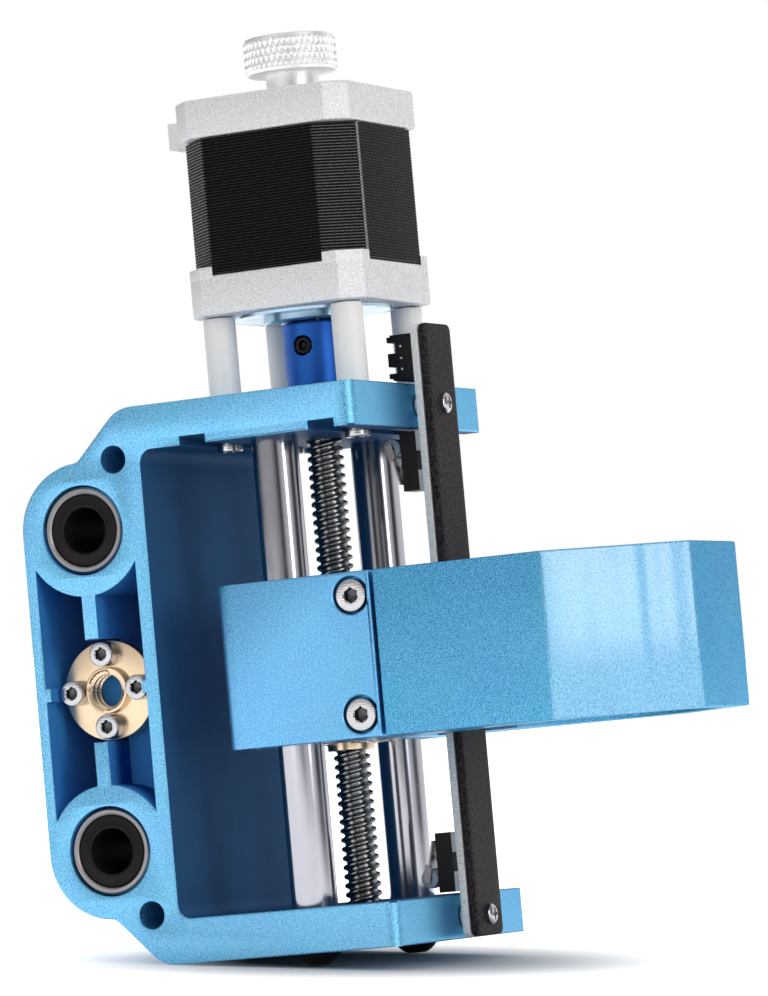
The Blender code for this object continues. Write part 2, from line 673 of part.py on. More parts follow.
def build_screw():
    low = SCREW_FLOOR + GAP
    radius, bevel = SCREW_DIAMETER / 2, TURNED_EDGE
    profile = [(0, SCREW_TOP), (radius - bevel, SCREW_TOP), (radius, SCREW_TOP - bevel), (radius, low + bevel),
               (radius - bevel, low), (0, low)]
    node("leadscrew", turned(profile, (0, 0, 0)), DARK_STEEL, DRIVE)
    bottom = ARM_THICKNESS - SCREW_BEARING_WIDTH
    outer = SCREW_BEARING_DIAMETER
    split = (SCREW_BEARING_DIAMETER + SCREW_DIAMETER) / 2
    node("screw_bearing_outer_ring", tube(outer, split + GAP, bottom, ARM_THICKNESS, (0, 0, 0)), STEEL)
    inner_ring = tube(split - GAP, SCREW_DIAMETER + 2 * GAP, bottom, ARM_THICKNESS, (0, 0, 0))
    node("screw_bearing_inner_ring", inner_ring, STEEL, DRIVE)


def build_coupling():
    outer = COUPLING_DIAMETER / 2
    lower_bore, upper_bore = SCREW_DIAMETER / 2 + GAP, MOTOR_SHAFT_DIAMETER / 2 + GAP
    step, bevel = SCREW_TOP + GAP, TURNED_EDGE
    profile = [(upper_bore, COUPLING_TOP), (outer - bevel, COUPLING_TOP), (outer, COUPLING_TOP - bevel),
               (outer, COUPLING_BOTTOM + bevel), (outer - bevel, COUPLING_BOTTOM), (lower_bore, COUPLING_BOTTOM),
               (lower_bore, step), (upper_bore, step)]
    coupling = node("shaft_coupling", turned(profile, (0, 0, 0)), DEEP_BLUE, DRIVE)
    ends = ((COUPLING_TOP - COUPLING_SET_DEPTH, upper_bore), (COUPLING_BOTTOM + COUPLING_SET_DEPTH, lower_bore))
    facing = ALONG_X @ FLIP
    tapped, past = M4_SHANK + 2 * GAP, outer + OVERCUT
    boolean(coupling, [rod(tapped, bore - OVERCUT, past, (0, 0, z), facing, SMALL) for z, bore in ends])
    screws = [rod(M4_SHANK, bore, outer - SET_SCREW_SINK, (0, 0, z), facing, SMALL) for z, bore in ends]
    nodes("coupling_set_screw", screws, BLACK_OXIDE, DRIVE)


def build_shaft_and_knob():
    shaft_low = SCREW_TOP + SHAFT_END_GAP
    shaft_high = KNOB_TOP - KNOB_ROOF - GAP
    shaft = MOTOR_SHAFT_DIAMETER
    node("motor_shaft", rod(shaft, shaft_low, shaft_high, (0, 0, 0), steps=20), STEEL, DRIVE)
    rotor = STATOR_BORE - 2 * ROTOR_CLEARANCE
    rotor_low, rotor_high = STATOR_BOTTOM + ROTOR_INSET, STATOR_BOTTOM + STATOR_HEIGHT - ROTOR_INSET
    node("motor_rotor", tube(rotor, shaft + 2 * GAP, rotor_low, rotor_high, (0, 0, 0)), DARK_STEEL, DRIVE)
    neck, body, bore, bevel = KNOB_NECK_DIAMETER / 2, KNOB_DIAMETER / 2, shaft / 2 + GAP, TURNED_EDGE
    profile = [(0, KNOB_TOP), (body - bevel, KNOB_TOP), (body, KNOB_TOP - bevel), (body, KNOB_BODY_BOTTOM + bevel),
               (body - bevel, KNOB_BODY_BOTTOM), (neck, KNOB_BODY_BOTTOM), (neck, KNOB_BOTTOM), (bore, KNOB_BOTTOM),
               (bore, KNOB_TOP - KNOB_ROOF), (0, KNOB_TOP - KNOB_ROOF)]
    knob = node("hand_knob", turned(profile, (0, 0, 0)), BRIGHT_ALUMINIUM, DRIVE)
    height = KNOB_BOTTOM + KNOB_NECK_LENGTH / 2
    facing = ALONG_X @ FLIP
    boolean(knob, [rod(M3_SHANK + 2 * GAP, bore - OVERCUT, neck + OVERCUT, (0, 0, height), facing, SMALL)])
    screw = rod(M3_SHANK, bore, neck - SET_SCREW_SINK, (0, 0, height), facing, SMALL)
    node("knob_set_screw", screw, BLACK_OXIDE, DRIVE)


# The stepper motor

def build_motor():
    plan = chamfered_square(MOTOR_WIDTH, MOTOR_CHAMFER)
    post_top = MOTOR_FACE + FRONT_BELL_HEIGHT + BELL_POST_HEIGHT
    bell = node("motor_front_bell", prism([plan], MOTOR_FACE, post_top), CAST_ALUMINIUM)
    inside = MOTOR_FACE + OVERCUT
    disc = tube(FACE_DISC_DIAMETER, PILOT_DIAMETER, MOTOR_FACE - FACE_DISC_HEIGHT, inside, (0, 0, 0))
    pilot = tube(PILOT_DIAMETER, PILOT_DIAMETER - 2 * PILOT_WALL, MOTOR_FACE - PILOT_HEIGHT, inside, (0, 0, 0))
    boolean(bell, [disc, pilot], "UNION")
    bell_top = MOTOR_FACE + FRONT_BELL_HEIGHT
    bearing_low = bell_top - MOTOR_BEARING_DEPTH - MOTOR_BEARING_WIDTH
    seat_bore = MOTOR_BEARING_DIAMETER + 2 * GAP
    stator_hole = chamfered_square(MOTOR_WIDTH + 2 * (GAP + OVERCUT), STATOR_CHAMFER + OVERCUT)
    lip_bore = MOTOR_BEARING_DIAMETER - 2 * MOTOR_BEARING_LIP
    cuts = [prism([stator_hole], bell_top, post_top + OVERCUT),
            rod(seat_bore, bearing_low - GAP, bell_top + OVERCUT, (0, 0, 0)),
            rod(lip_bore, MOTOR_FACE - PILOT_HEIGHT - OVERCUT, bearing_low, (0, 0, 0))]
    for x, y in motor_hole_places():
        thread_end = MOTOR_FACE + MOTOR_THREAD_DEPTH + GAP
        cuts.append(rod(M3_SHANK + 2 * GAP, MOTOR_FACE - OVERCUT, thread_end, (x, y, 0), steps=SMALL))
    boolean(bell, cuts)

    core = prism([chamfered_square(MOTOR_WIDTH, STATOR_CHAMFER), circle_loop(STATOR_BORE)],
                 STATOR_BOTTOM, STATOR_BOTTOM + STATOR_HEIGHT)
    node("motor_stator", core, LAMINATION)

    rear = node("motor_rear_bell", prism([plan], REAR_BELL_BOTTOM, MOTOR_TOP), CAST_ALUMINIUM)
    rear_seat = REAR_BELL_BOTTOM + MOTOR_BEARING_DEPTH + MOTOR_BEARING_WIDTH + GAP
    notch_depth = CONNECTOR_DEPTH - CONNECTOR_REACH
    notch = block((CONNECTOR_WIDTH + 2 * GAP, 2 * (notch_depth + GAP), 2 * (CONNECTOR_HEIGHT + GAP)),
                  (0, MOTOR_WIDTH / 2, REAR_BELL_BOTTOM))
    shaft_hole = MOTOR_SHAFT_DIAMETER + 2 * SHAFT_HOLE_CLEARANCE
    boolean(rear, [rod(seat_bore, REAR_BELL_BOTTOM - OVERCUT, rear_seat, (0, 0, 0)),
                   rod(shaft_hole, rear_seat - OVERCUT, MOTOR_TOP + OVERCUT, (0, 0, 0)), notch])
    rings = []
    for low in (bearing_low, REAR_BELL_BOTTOM + MOTOR_BEARING_DEPTH):
        high = low + MOTOR_BEARING_WIDTH
        rings.append(tube(MOTOR_BEARING_DIAMETER, MOTOR_SHAFT_DIAMETER + 2 * GAP, low, high, (0, 0, 0)))
    nodes("motor_bearing", rings, STEEL)


def circle_loop(diameter, steps=ROUND):
    return arc((0, 0), diameter / 2, 0, 360 - 360 / steps, steps - 1)


def build_connector():
    back = MOTOR_WIDTH / 2 - (CONNECTOR_DEPTH - CONNECTOR_REACH)
    front = MOTOR_WIDTH / 2 + CONNECTOR_REACH
    floor = back + CONNECTOR_FLOOR
    centre_z = REAR_BELL_BOTTOM + CONNECTOR_HEIGHT / 2
    size = (CONNECTOR_WIDTH, front - back, CONNECTOR_HEIGHT)
    shell = node("motor_connector", block(size, (0, (front + back) / 2, centre_z)), WHITE_PLASTIC)
    past = front + OVERCUT
    inside = (CONNECTOR_WIDTH - 2 * CONNECTOR_WALL, past - floor, CONNECTOR_HEIGHT - 2 * CONNECTOR_WALL)
    boolean(shell, [block(inside, (0, (past + floor) / 2, centre_z))])
    pins = []
    for i in range(CONNECTOR_PINS):
        x = (i - (CONNECTOR_PINS - 1) / 2) * CONNECTOR_PIN_PITCH
        low, high = floor - OVERCUT, front - CONNECTOR_PIN_SINK
        pins.append(block((CONNECTOR_PIN_SIZE, high - low, CONNECTOR_PIN_SIZE), (x, (low + high) / 2, centre_z)))
    boolean(shell, pins, "UNION")


def build_motor_mounting():
    low, high = FRAME_HEIGHT + GAP, MOTOR_FACE - GAP
    places = motor_hole_places()
    bore = M3_SHANK + 2 * GAP
    standoffs = [tube(STANDOFF_DIAMETER, bore, low, high, (x, y, 0), steps=20) for x, y in places]
    nodes("motor_standoff", standoffs, WHITE_PLASTIC)
    head_top = UPPER_ARM_BOTTOM + GROOVE_DEPTH - GAP
    tip = MOTOR_FACE + MOTOR_THREAD_DEPTH
    profile = [(0, tip), (M3_SHANK / 2, tip), (M3_SHANK / 2, head_top), (M3_HEAD / 2, head_top),
               (M3_HEAD / 2, head_top - M3_HEAD_HEIGHT), (0, head_top - M3_HEAD_HEIGHT)]
    nodes("motor_mount_screw", [turned(profile, (x, y, 0), steps=SMALL) for x, y in places], STEEL)


# Carriage and spindle clamp

def build_carriage():
    half, edge = CARRIAGE_WIDTH / 2, SEAM_EDGE
    cheek = half - CHEEK_THICKNESS
    outline = rounded([(-half, SEAM_Y, edge), (-cheek, SEAM_Y, edge), (-cheek, WINDOW_BACK, 0),
                       (cheek, WINDOW_BACK, 0), (cheek, SEAM_Y, edge), (half, SEAM_Y, edge),
                       (half, CARRIAGE_BACK, CARRIAGE_CORNER), (-half, CARRIAGE_BACK, CARRIAGE_CORNER)])
    bore = BEARING_DIAMETER + 2 * GAP
    loops = [outline]
    for x in (-ROD_X, ROD_X):
        loops.append(arc((x, 0), bore / 2, 0, 360 - 360 / ROUND, ROUND - 1))
    loops.append(circle_loop(NUT_HOUSING_BORE))
    carriage = node("carriage_block", prism(loops, CARRIAGE_BOTTOM, CARRIAGE_TOP), BLUE, TRAVEL)
    pocket_top = Z_NUT_SEAT[2] + GAP
    cuts = [rod(NUT_FLANGE_DIAMETER + 2 * GAP, CARRIAGE_BOTTOM - OVERCUT, pocket_top, (0, 0, 0))]
    cuts += nut_screw_pockets(Z_NUT_SEAT, FLIP, Z_NUT_SCREW_ANGLE)
    boolean(carriage, cuts + clamp_screw_holes())


def clamp_screw_solids(head_diameter, head_height, clearance):
    """Screws, or the cutters for their holes, along X through both cheeks and into the tongues."""
    solids = []
    seat = CARRIAGE_WIDTH / 2 - M4_COUNTERBORE_DEPTH
    under_head = seat if clearance else seat + GAP
    tip = seat - M4_LENGTH - clearance
    head, shank = head_diameter / 2, M4_SHANK / 2 + clearance
    profile = [(0, under_head + head_height), (head, under_head + head_height), (head, under_head),
               (shank, under_head), (shank, tip), (0, tip)]
    for side_turn in (ALONG_X @ FLIP, ALONG_X):
        for offset in (-CLAMP_SCREW_SPACING / 2, CLAMP_SCREW_SPACING / 2):
            solids.append(turned(profile, (0, CLAMP_SCREW_Y, CARRIAGE_MID + offset), side_turn, 16))
    return solids


def clamp_screw_holes():
    return clamp_screw_solids(M4_COUNTERBORE, M4_COUNTERBORE_DEPTH + OVERCUT, GAP)


def build_spindle_clamp():
    """A C-shaped ring whose two ends are the tongues that sit between the carriage's cheeks."""
    half, edge = CARRIAGE_WIDTH / 2, SEAM_EDGE
    mouth = WINDOW_WIDTH / 2
    tongue_back = WINDOW_BACK - GAP
    radius = SPINDLE_DIAMETER / 2
    opening = math.degrees(math.asin(mouth / radius))
    inner = [(x, y, 0) for x, y in arc((0, SPINDLE_Y), radius, 90 - opening, -270 + opening, 48)]
    side_end = CLAMP_FRONT + CLAMP_CHAMFER
    front = half - CLAMP_CHAMFER
    left = [(-mouth, tongue_back, 0), (-TONGUE_OUTER, tongue_back, 0), (-TONGUE_OUTER, CLAMP_BACK, 0),
            (-half, CLAMP_BACK, edge), (-half, side_end, edge), (-front, CLAMP_FRONT, edge)]
    right = [(-x, y, corner) for x, y, corner in reversed(left)]
    outline = rounded(inner + left + right, 3)
    clamp = node("spindle_clamp", prism([outline], CARRIAGE_BOTTOM, CARRIAGE_TOP), BLUE, TRAVEL)
    boolean(clamp, clamp_screw_holes())


def build_clamp_screws():
    nodes("clamp_screw", clamp_screw_solids(M4_HEAD, M4_HEAD_HEIGHT, 0), STEEL, TRAVEL)


# Limit-switch board

def build_board():
    half = BOARD_WIDTH / 2
    top = FRAME_HEIGHT + BOARD_ABOVE_FRAME
    plan = rectangle(BOARD_BOTTOM, top, -half, half, BOARD_CORNER)
    holes = [arc((z, 0), M3_SHANK / 2 + GAP, 0, 360 - 360 / SMALL, SMALL - 1) for z in ARM_MIDDLES_Z]
    loops = [plan] + holes
    node("limit_board", prism(loops, BOARD_FRONT, BOARD_BACK, ALONG_Y), BOARD_GREY)
    node("board_cover", prism(loops, COVER_FRONT, COVER_BACK, ALONG_Y), BLACK_PLASTIC)
    bore = M3_SHANK + 2 * GAP
    spacer_low, spacer_high = BOARD_BACK + GAP, ARM_FRONT - GAP
    spacers = [tube(SPACER_DIAMETER, bore, spacer_low, spacer_high, (0, 0, z), ALONG_Y, 16) for z in ARM_MIDDLES_Z]
    nodes("board_spacer", spacers, WHITE_PLASTIC)
    seat = COVER_FRONT - GAP
    tip = ARM_FRONT + BOARD_SCREW_LENGTH
    head, crown, shank = BOARD_SCREW_HEAD / 2, BOARD_SCREW_CROWN / 2, M3_SHANK / 2
    profile = [(0, tip), (shank, tip), (shank, seat), (head, seat), (head, seat - BOARD_SCREW_HEAD_HEIGHT / 2),
               (crown, seat - BOARD_SCREW_HEAD_HEIGHT), (0, seat - BOARD_SCREW_HEAD_HEIGHT)]
    nodes("board_screw", [turned(profile, (0, 0, z), ALONG_Y, SMALL) for z in ARM_MIDDLES_Z], STEEL)

    header_low = FRAME_HEIGHT + HEADER_ABOVE_ARM
    header_back = BOARD_BACK + GAP + HEADER_DEPTH
    centre = (0, header_back - HEADER_DEPTH / 2, header_low + HEADER_HEIGHT / 2)
    header = node("board_connector", block((HEADER_WIDTH, HEADER_DEPTH, HEADER_HEIGHT), centre), BLACK_PLASTIC)
    slots = []
    for i in range(HEADER_SLOTS):
        z = header_low + HEADER_HEIGHT * (i + 0.5) / HEADER_SLOTS
        slots.append(block((HEADER_WIDTH - 2 * HEADER_WALL, HEADER_DEPTH, HEADER_SLOT_WIDTH), (0, header_back, z)))
    boolean(header, slots)


# Micro switches. Each is drawn from its inner end, the one nearer the carriage, towards its arm

def switch_frame(side):
    """The switch's inner end and its direction: side 1 under the upper arm, -1 over the lower arm."""
    arm = UPPER_ARM_BOTTOM if side > 0 else ARM_THICKNESS
    return arm - side * (SWITCH_INSET + SWITCH_LENGTH), side


def build_switch(prefix, side):
    inner, up = switch_frame(side)
    middle = inner + up * SWITCH_LENGTH / 2
    case = block((SWITCH_WIDTH, SWITCH_DEPTH, SWITCH_LENGTH), (0, (SWITCH_FRONT + SWITCH_BACK) / 2, middle))
    body = node(f"{prefix}_switch_body", case, BLACK_PLASTIC)
    boolean(body, switch_feet(inner, up), "UNION")
    plunger_z = inner + up * (LEVER_HINGE_INSET + PLUNGER_FROM_HINGE)
    hinge_y = SWITCH_BACK + LEVER_HINGE_STANDOFF
    hinge_z = inner + up * LEVER_HINGE_INSET
    roller_y = SWITCH_BACK + ROLLER_STANDOFF
    roller_z = inner + up * (SWITCH_LENGTH - ROLLER_FROM_END)
    well = SWITCH_BACK - PLUNGER_DEPTH - PLUNGER_TRAVEL - GAP
    way = rod(PLUNGER_DIAMETER + 2 * GAP, well, SWITCH_BACK + OVERCUT, (0, 0, plunger_z), ALONG_Y, SMALL)
    boolean(body, [way])
    slope = math.atan2(roller_y - hinge_y, up * (roller_z - hinge_z))
    lever_reach = PLUNGER_FROM_HINGE * math.tan(slope)
    plunger_tip = hinge_y + lever_reach - LEVER_THICKNESS / 2 - PLUNGER_CLEARANCE
    pin = rod(PLUNGER_DIAMETER, SWITCH_BACK - PLUNGER_DEPTH, plunger_tip, (0, 0, plunger_z), ALONG_Y, SMALL)
    plunger = joint_empty(f"{prefix}_plunger_press", (0, plunger_tip, plunger_z), STAND)
    node(f"{prefix}_switch_plunger", pin, BLACK_PLASTIC, plunger)
    build_lever(prefix, up, (hinge_y, hinge_z), (roller_y, roller_z))


def build_lever(prefix, up, hinge, roller):
    """A spring-steel strip from the hinge to a fork with the roller's pin."""
    offset = Vector((roller[0] - hinge[0], roller[1] - hinge[1]))
    length, angle = offset.length, math.atan2(offset.x, offset.y * up)
    place = Matrix.Translation((0, mm(hinge[0]), mm(hinge[1])))
    tilt = Matrix.Rotation(-up * angle, 4, "X")
    strip_end = length - ROLLER_DIAMETER / 2 - GAP
    strip = block((LEVER_WIDTH, LEVER_THICKNESS, strip_end), (0, 0, up * strip_end / 2))
    cheek_x = ROLLER_WIDTH / 2 + GAP + LEVER_THICKNESS / 2
    cheek_length = FORK_OVERLAP + ROLLER_DIAMETER / 2 + GAP + FORK_END
    pieces = [strip]
    for side in (-1, 1):
        cheek_z = up * (strip_end - FORK_OVERLAP + cheek_length / 2)
        pieces.append(block((LEVER_THICKNESS, FORK_DEPTH, cheek_length), (side * cheek_x, FORK_OFFSET, cheek_z)))
    pieces.append(rod(ROLLER_PIN, -cheek_x, cheek_x, (0, 0, up * length), ALONG_X, 16))
    for piece in pieces:
        piece.transform(place @ tilt)
    swing = joint_empty(f"{prefix}_lever_press", (0, *hinge), STAND)
    lever = node(f"{prefix}_switch_lever", pieces[0], STEEL, swing)
    boolean(lever, pieces[1:], "UNION")
    at = (0, *roller)
    half = ROLLER_WIDTH / 2
    wheel = tube(ROLLER_DIAMETER, ROLLER_PIN + 2 * ROLLER_CLEARANCE, -half, half, at, ALONG_X, 20)
    node(f"{prefix}_switch_roller", wheel, GREY_PLASTIC, joint_empty(f"{prefix}_roller_spin", at, swing))


def switch_feet(inner, up):
    """Two feet that hold the case off the board, one at each end."""
    feet = []
    low, high = SWITCH_FRONT - SWITCH_FOOT_DEPTH, SWITCH_FRONT + OVERCUT
    for start in (0, SWITCH_LENGTH - SWITCH_FOOT_LENGTH):
        centre = (0, (low + high) / 2, inner + up * (start + SWITCH_FOOT_LENGTH / 2))
        size = (SWITCH_WIDTH - 2 * SWITCH_FOOT_INSET, high - low, SWITCH_FOOT_LENGTH - SWITCH_FOOT_INSET)
        feet.append(block(size, centre))
    return feet


build_frame()
build_bearings()
build_nut("x_nut", X_NUT_SEAT, X_NUT_TURN, M3_HEAD_HEIGHT)
build_nut("z_nut", Z_NUT_SEAT, FLIP, Z_NUT_HEAD_HEIGHT, Z_NUT_SCREW_ANGLE, TRAVEL)
build_rods()
build_screw()
build_coupling()
build_shaft_and_knob()
build_motor()
build_connector()
build_motor_mounting()
build_carriage()
build_spindle_clamp()
build_clamp_screws()
build_board()
build_switch("upper", 1)
build_switch("lower", -1)
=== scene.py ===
"""Looks of a CNC Z-axis module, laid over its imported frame. Lengths are in millimetres until a mesh is made."""
import math

import bmesh
import bpy
import numpy as np
from mathutils import Matrix, Vector
from mathutils.geometry import tessellate_polygon


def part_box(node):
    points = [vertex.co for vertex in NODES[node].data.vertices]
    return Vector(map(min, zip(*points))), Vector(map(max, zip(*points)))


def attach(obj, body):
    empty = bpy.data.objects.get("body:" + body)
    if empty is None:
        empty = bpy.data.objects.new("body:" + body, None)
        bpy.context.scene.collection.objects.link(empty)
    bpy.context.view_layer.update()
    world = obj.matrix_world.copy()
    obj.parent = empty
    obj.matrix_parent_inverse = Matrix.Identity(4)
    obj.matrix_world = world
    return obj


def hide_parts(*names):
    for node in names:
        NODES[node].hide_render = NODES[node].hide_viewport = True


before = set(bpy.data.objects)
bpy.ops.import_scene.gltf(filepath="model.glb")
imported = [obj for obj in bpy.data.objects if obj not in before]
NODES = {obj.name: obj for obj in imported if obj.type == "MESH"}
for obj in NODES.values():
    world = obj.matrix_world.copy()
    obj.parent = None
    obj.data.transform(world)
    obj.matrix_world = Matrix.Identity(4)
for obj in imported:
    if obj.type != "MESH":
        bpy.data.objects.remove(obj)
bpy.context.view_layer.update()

MM = 0.001  # metres in a millimetre
AXIS = 0.001  # the radius that stands for the axis, where a turned surface closes

# Sizes shared with the frame. GAP is the clearance that stands for contact
GAP = 0.3
FRAME_LENGTH, FRAME_HEIGHT, ARM = 68.0, 121.5, 9.75
ARM_FRONT, THROAT_BACK, CORNER = -23.4, 28.6, 3.0
CROSS_Y, CROSS_SPACING, LOBE = 44.0, 70.2, 14.8
SHOULDER_Y, SHOULDER_RADIUS, SHOULDER_FILLET = 33.2, 8.0, 3.0
FRONT_WEB_Y, REAR_WEB_Y = 31.8, 56.4
HOUSING, BEARING, BEARING_LENGTH, BEARING_WALL = 14.5, 9.5, 29.0, 1.5
CORE_HOLE, CORE_Y, CORE_OFFSET = 3.0, 35.1, 49.7
RIB, STUB, BOSS = 1.7, 1.5, 10.6
POCKET, POCKET_DEPTH, NUT_BORE = 11.3, 10.3, 5.4
GROOVE_WIDTH, GROOVE_DEPTH, BOLT = 6.2, 1.9, 15.5
BOLTS = [(x, y) for x in (-BOLT, BOLT) for y in (-BOLT, BOLT)]
MID = FRAME_HEIGHT / 2
UPPER_ARM = FRAME_HEIGHT - ARM
ROD_X, ROD, LOWER_SEAT, UPPER_SEAT = 25.0, 5.0, 6.0, 7.0
MOTOR_FACE, MOTOR_HALF, MOTOR_CUT = 140.0, 21.15, 4.5
STATOR_LOW, STATOR_HIGH, REAR_LOW, REAR_HIGH = 149.2, 178.9, 179.2, 187.8
CARRIAGE_LOW, CARRIAGE_HIGH, CARRIAGE_HALF = 44.75, 80.35, 37.2
CARRIAGE_BACK, SEAM_Y, SEAM, BACK_CORNER, SEAM_CORNER = 12.5, -25.1, 0.8, 5.0, 0.6
CHEEK, WINDOW_BACK, WINDOW_HALF = 7.0, -16.0, 10.0
BORE, BORE_Y, CLAMP_FRONT, CLAMP_CUT = 26.0, -60.0, -89.5, 24.2
CLAMP_SCREW_Y, CLAMP_SCREW_OFFSET = -20.5, 12.75
CARRIAGE_MID = (CARRIAGE_LOW + CARRIAGE_HIGH) / 2
COUPLING_LOW, COUPLING_HIGH, COUPLING, COUPLING_SET_DEPTH = 112.7, 137.7, 7.0, 5.2
KNOB_LOW, KNOB_HIGH, KNOB, KNOB_NECK = 188.1, 201.3, 10.25, 5.0
BOARD_LOW, BOARD_HIGH, BOARD_HALF, BOARD_BACK = 0.35, 134.15, 6.75, -25.8

# The lead screw has two starts, so its lead is twice its pitch
THREAD_PITCH, THREAD_LEAD = 2.0, 4.0
THREAD_CREST, THREAD_ROOT = 4.0, 3.15

# Screws: across the head, its height, the shank and across the socket's flats
M3_CAP = {"head": 5.5, "height": 3.0, "shank": 3.0, "socket": 2.5}
M4_CAP = {"head": 7.0, "height": 4.0, "shank": 4.0, "socket": 3.0}
M5_BUTTON = {"head": 9.5, "height": 2.75, "shank": 5.0, "socket": 3.0}

# The drawing point, where the lead screw's axis meets the lower arm's underside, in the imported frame
DRAWN_AT = np.array([0.0, 15.35, 3.05])

# Directions that a shape drawn along +Z can be turned to; columns are the images of its three axes
TURN = {
    "Z": np.eye(3),
    "X": np.array([[0, 0, 1], [1, 0, 0], [0, 1, 0]]),
    "Y": np.array([[0, 1, 0], [0, 0, 1], [1, 0, 0]]),
    "-X": np.array([[0, 0, -1], [0, 1, 0], [1, 0, 0]]),
    "-Y": np.array([[1, 0, 0], [0, 0, -1], [0, 1, 0]]),
    "-Z": np.array([[1, 0, 0], [0, -1, 0], [0, 0, -1]]),
}


def moved(part, turn="Z", at=(0, 0, 0)):
    """A part (points, faces) turned and then set at a place."""
    points, faces = part
    return points @ TURN[turn].T + np.asarray(at, float), faces


def joined(parts):
    """Several parts as one, with the faces of each counted on."""
    points, faces, start = [], [], 0
    for part_points, part_faces in parts:
        points.append(part_points)
        faces += [(np.asarray(f) + start).tolist() for f in part_faces]
        start += len(part_points)
    return np.concatenate(points), faces


def grid_faces(rows, columns, closed=True):
    """Quads between the neighbouring rows and columns of a grid, closed round each row or open."""
    row = np.arange(rows - 1)[:, None] * columns
    column = np.arange(columns if closed else columns - 1)[None, :]
    after = (column + 1) % columns
    quads = np.stack([row + column, row + after, row + columns + after, row + columns + column], axis=-1)
    return quads.reshape(-1, 4).tolist()


def soften(corners, steps=5, closed=False):
    """A path whose corners (a, b, radius) become tangent arcs. An open path keeps its two ends as they are."""
    path, total = [], len(corners)
    for i, corner in enumerate(corners):
        here = Vector(corner[:2])
        radius = corner[2] if len(corner) > 2 else 0
        at_end = not closed and i in (0, total - 1)
        if radius == 0 or at_end:
            path.append(tuple(here))
            continue
        before, after = Vector(corners[i - 1][:2]), Vector(corners[(i + 1) % total][:2])
        path += corner_arc(before, here, after, radius, steps)
    return np.array(path)


def corner_arc(before, here, after, radius, steps):
    """The arc that rounds one corner: its centre, on the bisector, plus a spoke turned through the bend."""
    to_before, to_after = (before - here).normalized(), (after - here).normalized()
    half = to_before.angle(to_after) / 2
    centre = here + (to_before + to_after).normalized() * (radius / math.sin(half))
    reach = radius / math.tan(half)
    first, last = here + to_before * reach - centre, here + to_after * reach - centre
    sweep = first.angle_signed(last)
    points = []
    for k in range(steps + 1):
        spoke = first.copy()
        spoke.rotate(Matrix.Rotation(-sweep * k / steps, 2))
        points.append(tuple(centre + spoke))
    return points


def round_hole(centre, radius, count):
    """A circle as count points, clockwise, because it bounds a hole."""
    angle = -np.linspace(0, math.tau, count, endpoint=False)
    return np.stack([centre[0] + radius * np.cos(angle), centre[1] + radius * np.sin(angle)], axis=1)


def arc(centre, radius, start, end, count):
    """Points on an arc from start to end degrees."""
    angle = np.radians(np.linspace(start, end, count))
    return np.stack([centre[0] + radius * np.cos(angle), centre[1] + radius * np.sin(angle)], axis=1)


def inset(loop, distance):
    """The loop moved into the material on its left: each point goes along its two edges' mean normal."""
    forward = np.roll(loop, -1, axis=0) - loop
    forward /= np.linalg.norm(forward, axis=1, keepdims=True)
    normal = np.stack([-forward[:, 1], forward[:, 0]], axis=1)
    previous = np.roll(normal, 1, axis=0)
    dot = np.clip((normal * previous).sum(axis=1, keepdims=True), -0.6, 1)
    return loop + distance * (normal + previous) / (1 + dot)


def wall(loop, rows):
    """A wall round an outline. Each row is (inset, height)."""
    points = [np.column_stack([inset(loop, d) if d else loop, np.full(len(loop), h)]) for d, h in rows]
    return np.concatenate(points), grid_faces(len(rows), len(loop))


def cap(loops, height):
    """A flat face at one height, bounded by its first loop, with holes at the others."""
    flat = [[Vector((u, v, 0)) for u, v in loop] for loop in loops]
    points = np.concatenate(loops)
    triangles = [tuple(t) for t in tessellate_polygon(flat)]
    return np.column_stack([points, np.full(len(points), height)]), triangles


def edge_rows(low, high, edge, steps=3):
    """Rows that round the lower and upper rim by the radius edge: a quarter circle at each end."""
    rows = []
    for k in range(steps + 1):
        angle = math.pi / 2 * k / steps
        rows.append((edge * (1 - math.sin(angle)), low + edge * (1 - math.cos(angle))))
    return rows + [(d, low + high - h) for d, h in reversed(rows)]


def slab(loops, low, high, edge=0.3):
    """A plate with rounded rims: walls round every loop, capped below and above."""
    rows = edge_rows(low, high, edge)
    parts = [wall(loop, rows) for loop in loops]
    shrunk = [inset(loop, edge) for loop in loops]
    return joined(parts + [cap(shrunk, low), cap(shrunk, high)])


def around(radius, height):
    """A closed grid about the axis: a row for each height, a column for each angle, out by the radius at both."""
    angle = np.linspace(0, math.tau, radius.shape[1], endpoint=False)
    height = np.broadcast_to(height, radius.shape)
    points = np.stack([radius * np.cos(angle), radius * np.sin(angle), height], axis=-1)
    return points.reshape(-1, 3), grid_faces(*radius.shape)


def turned(profile, columns=96):
    """A surface of revolution. Each profile row is (radius, height); a radius may vary with the angle."""
    radius = np.stack([np.broadcast_to(np.asarray(r, float), columns) for r, _ in profile])
    return around(radius, np.array([[h] for _, h in profile], float))


def hexagon(across, columns):
    """The radius of a hexagon at each angle: half its width over the cosine of the angle from a flat."""
    angle = np.degrees(np.linspace(0, math.tau, columns, endpoint=False))
    return across / 2 / np.cos(np.radians((angle % 60) - 30))


def head_with_socket(side, top, socket, depth, columns=72):
    """A screw head: side rows from below, up to the flat top, then a hexagon socket and its cone-shaped floor."""
    flats = hexagon(socket, columns)
    mouth, chamfer = socket / 2 * 1.22, 0.18
    floor_rim, tip = (socket * 0.2, top - depth - 0.25), (AXIS, top - depth - 0.35)
    rows = [(mouth, top), (flats, top - chamfer), (flats, top - depth), floor_rim, tip]
    return turned(list(side) + rows, columns)


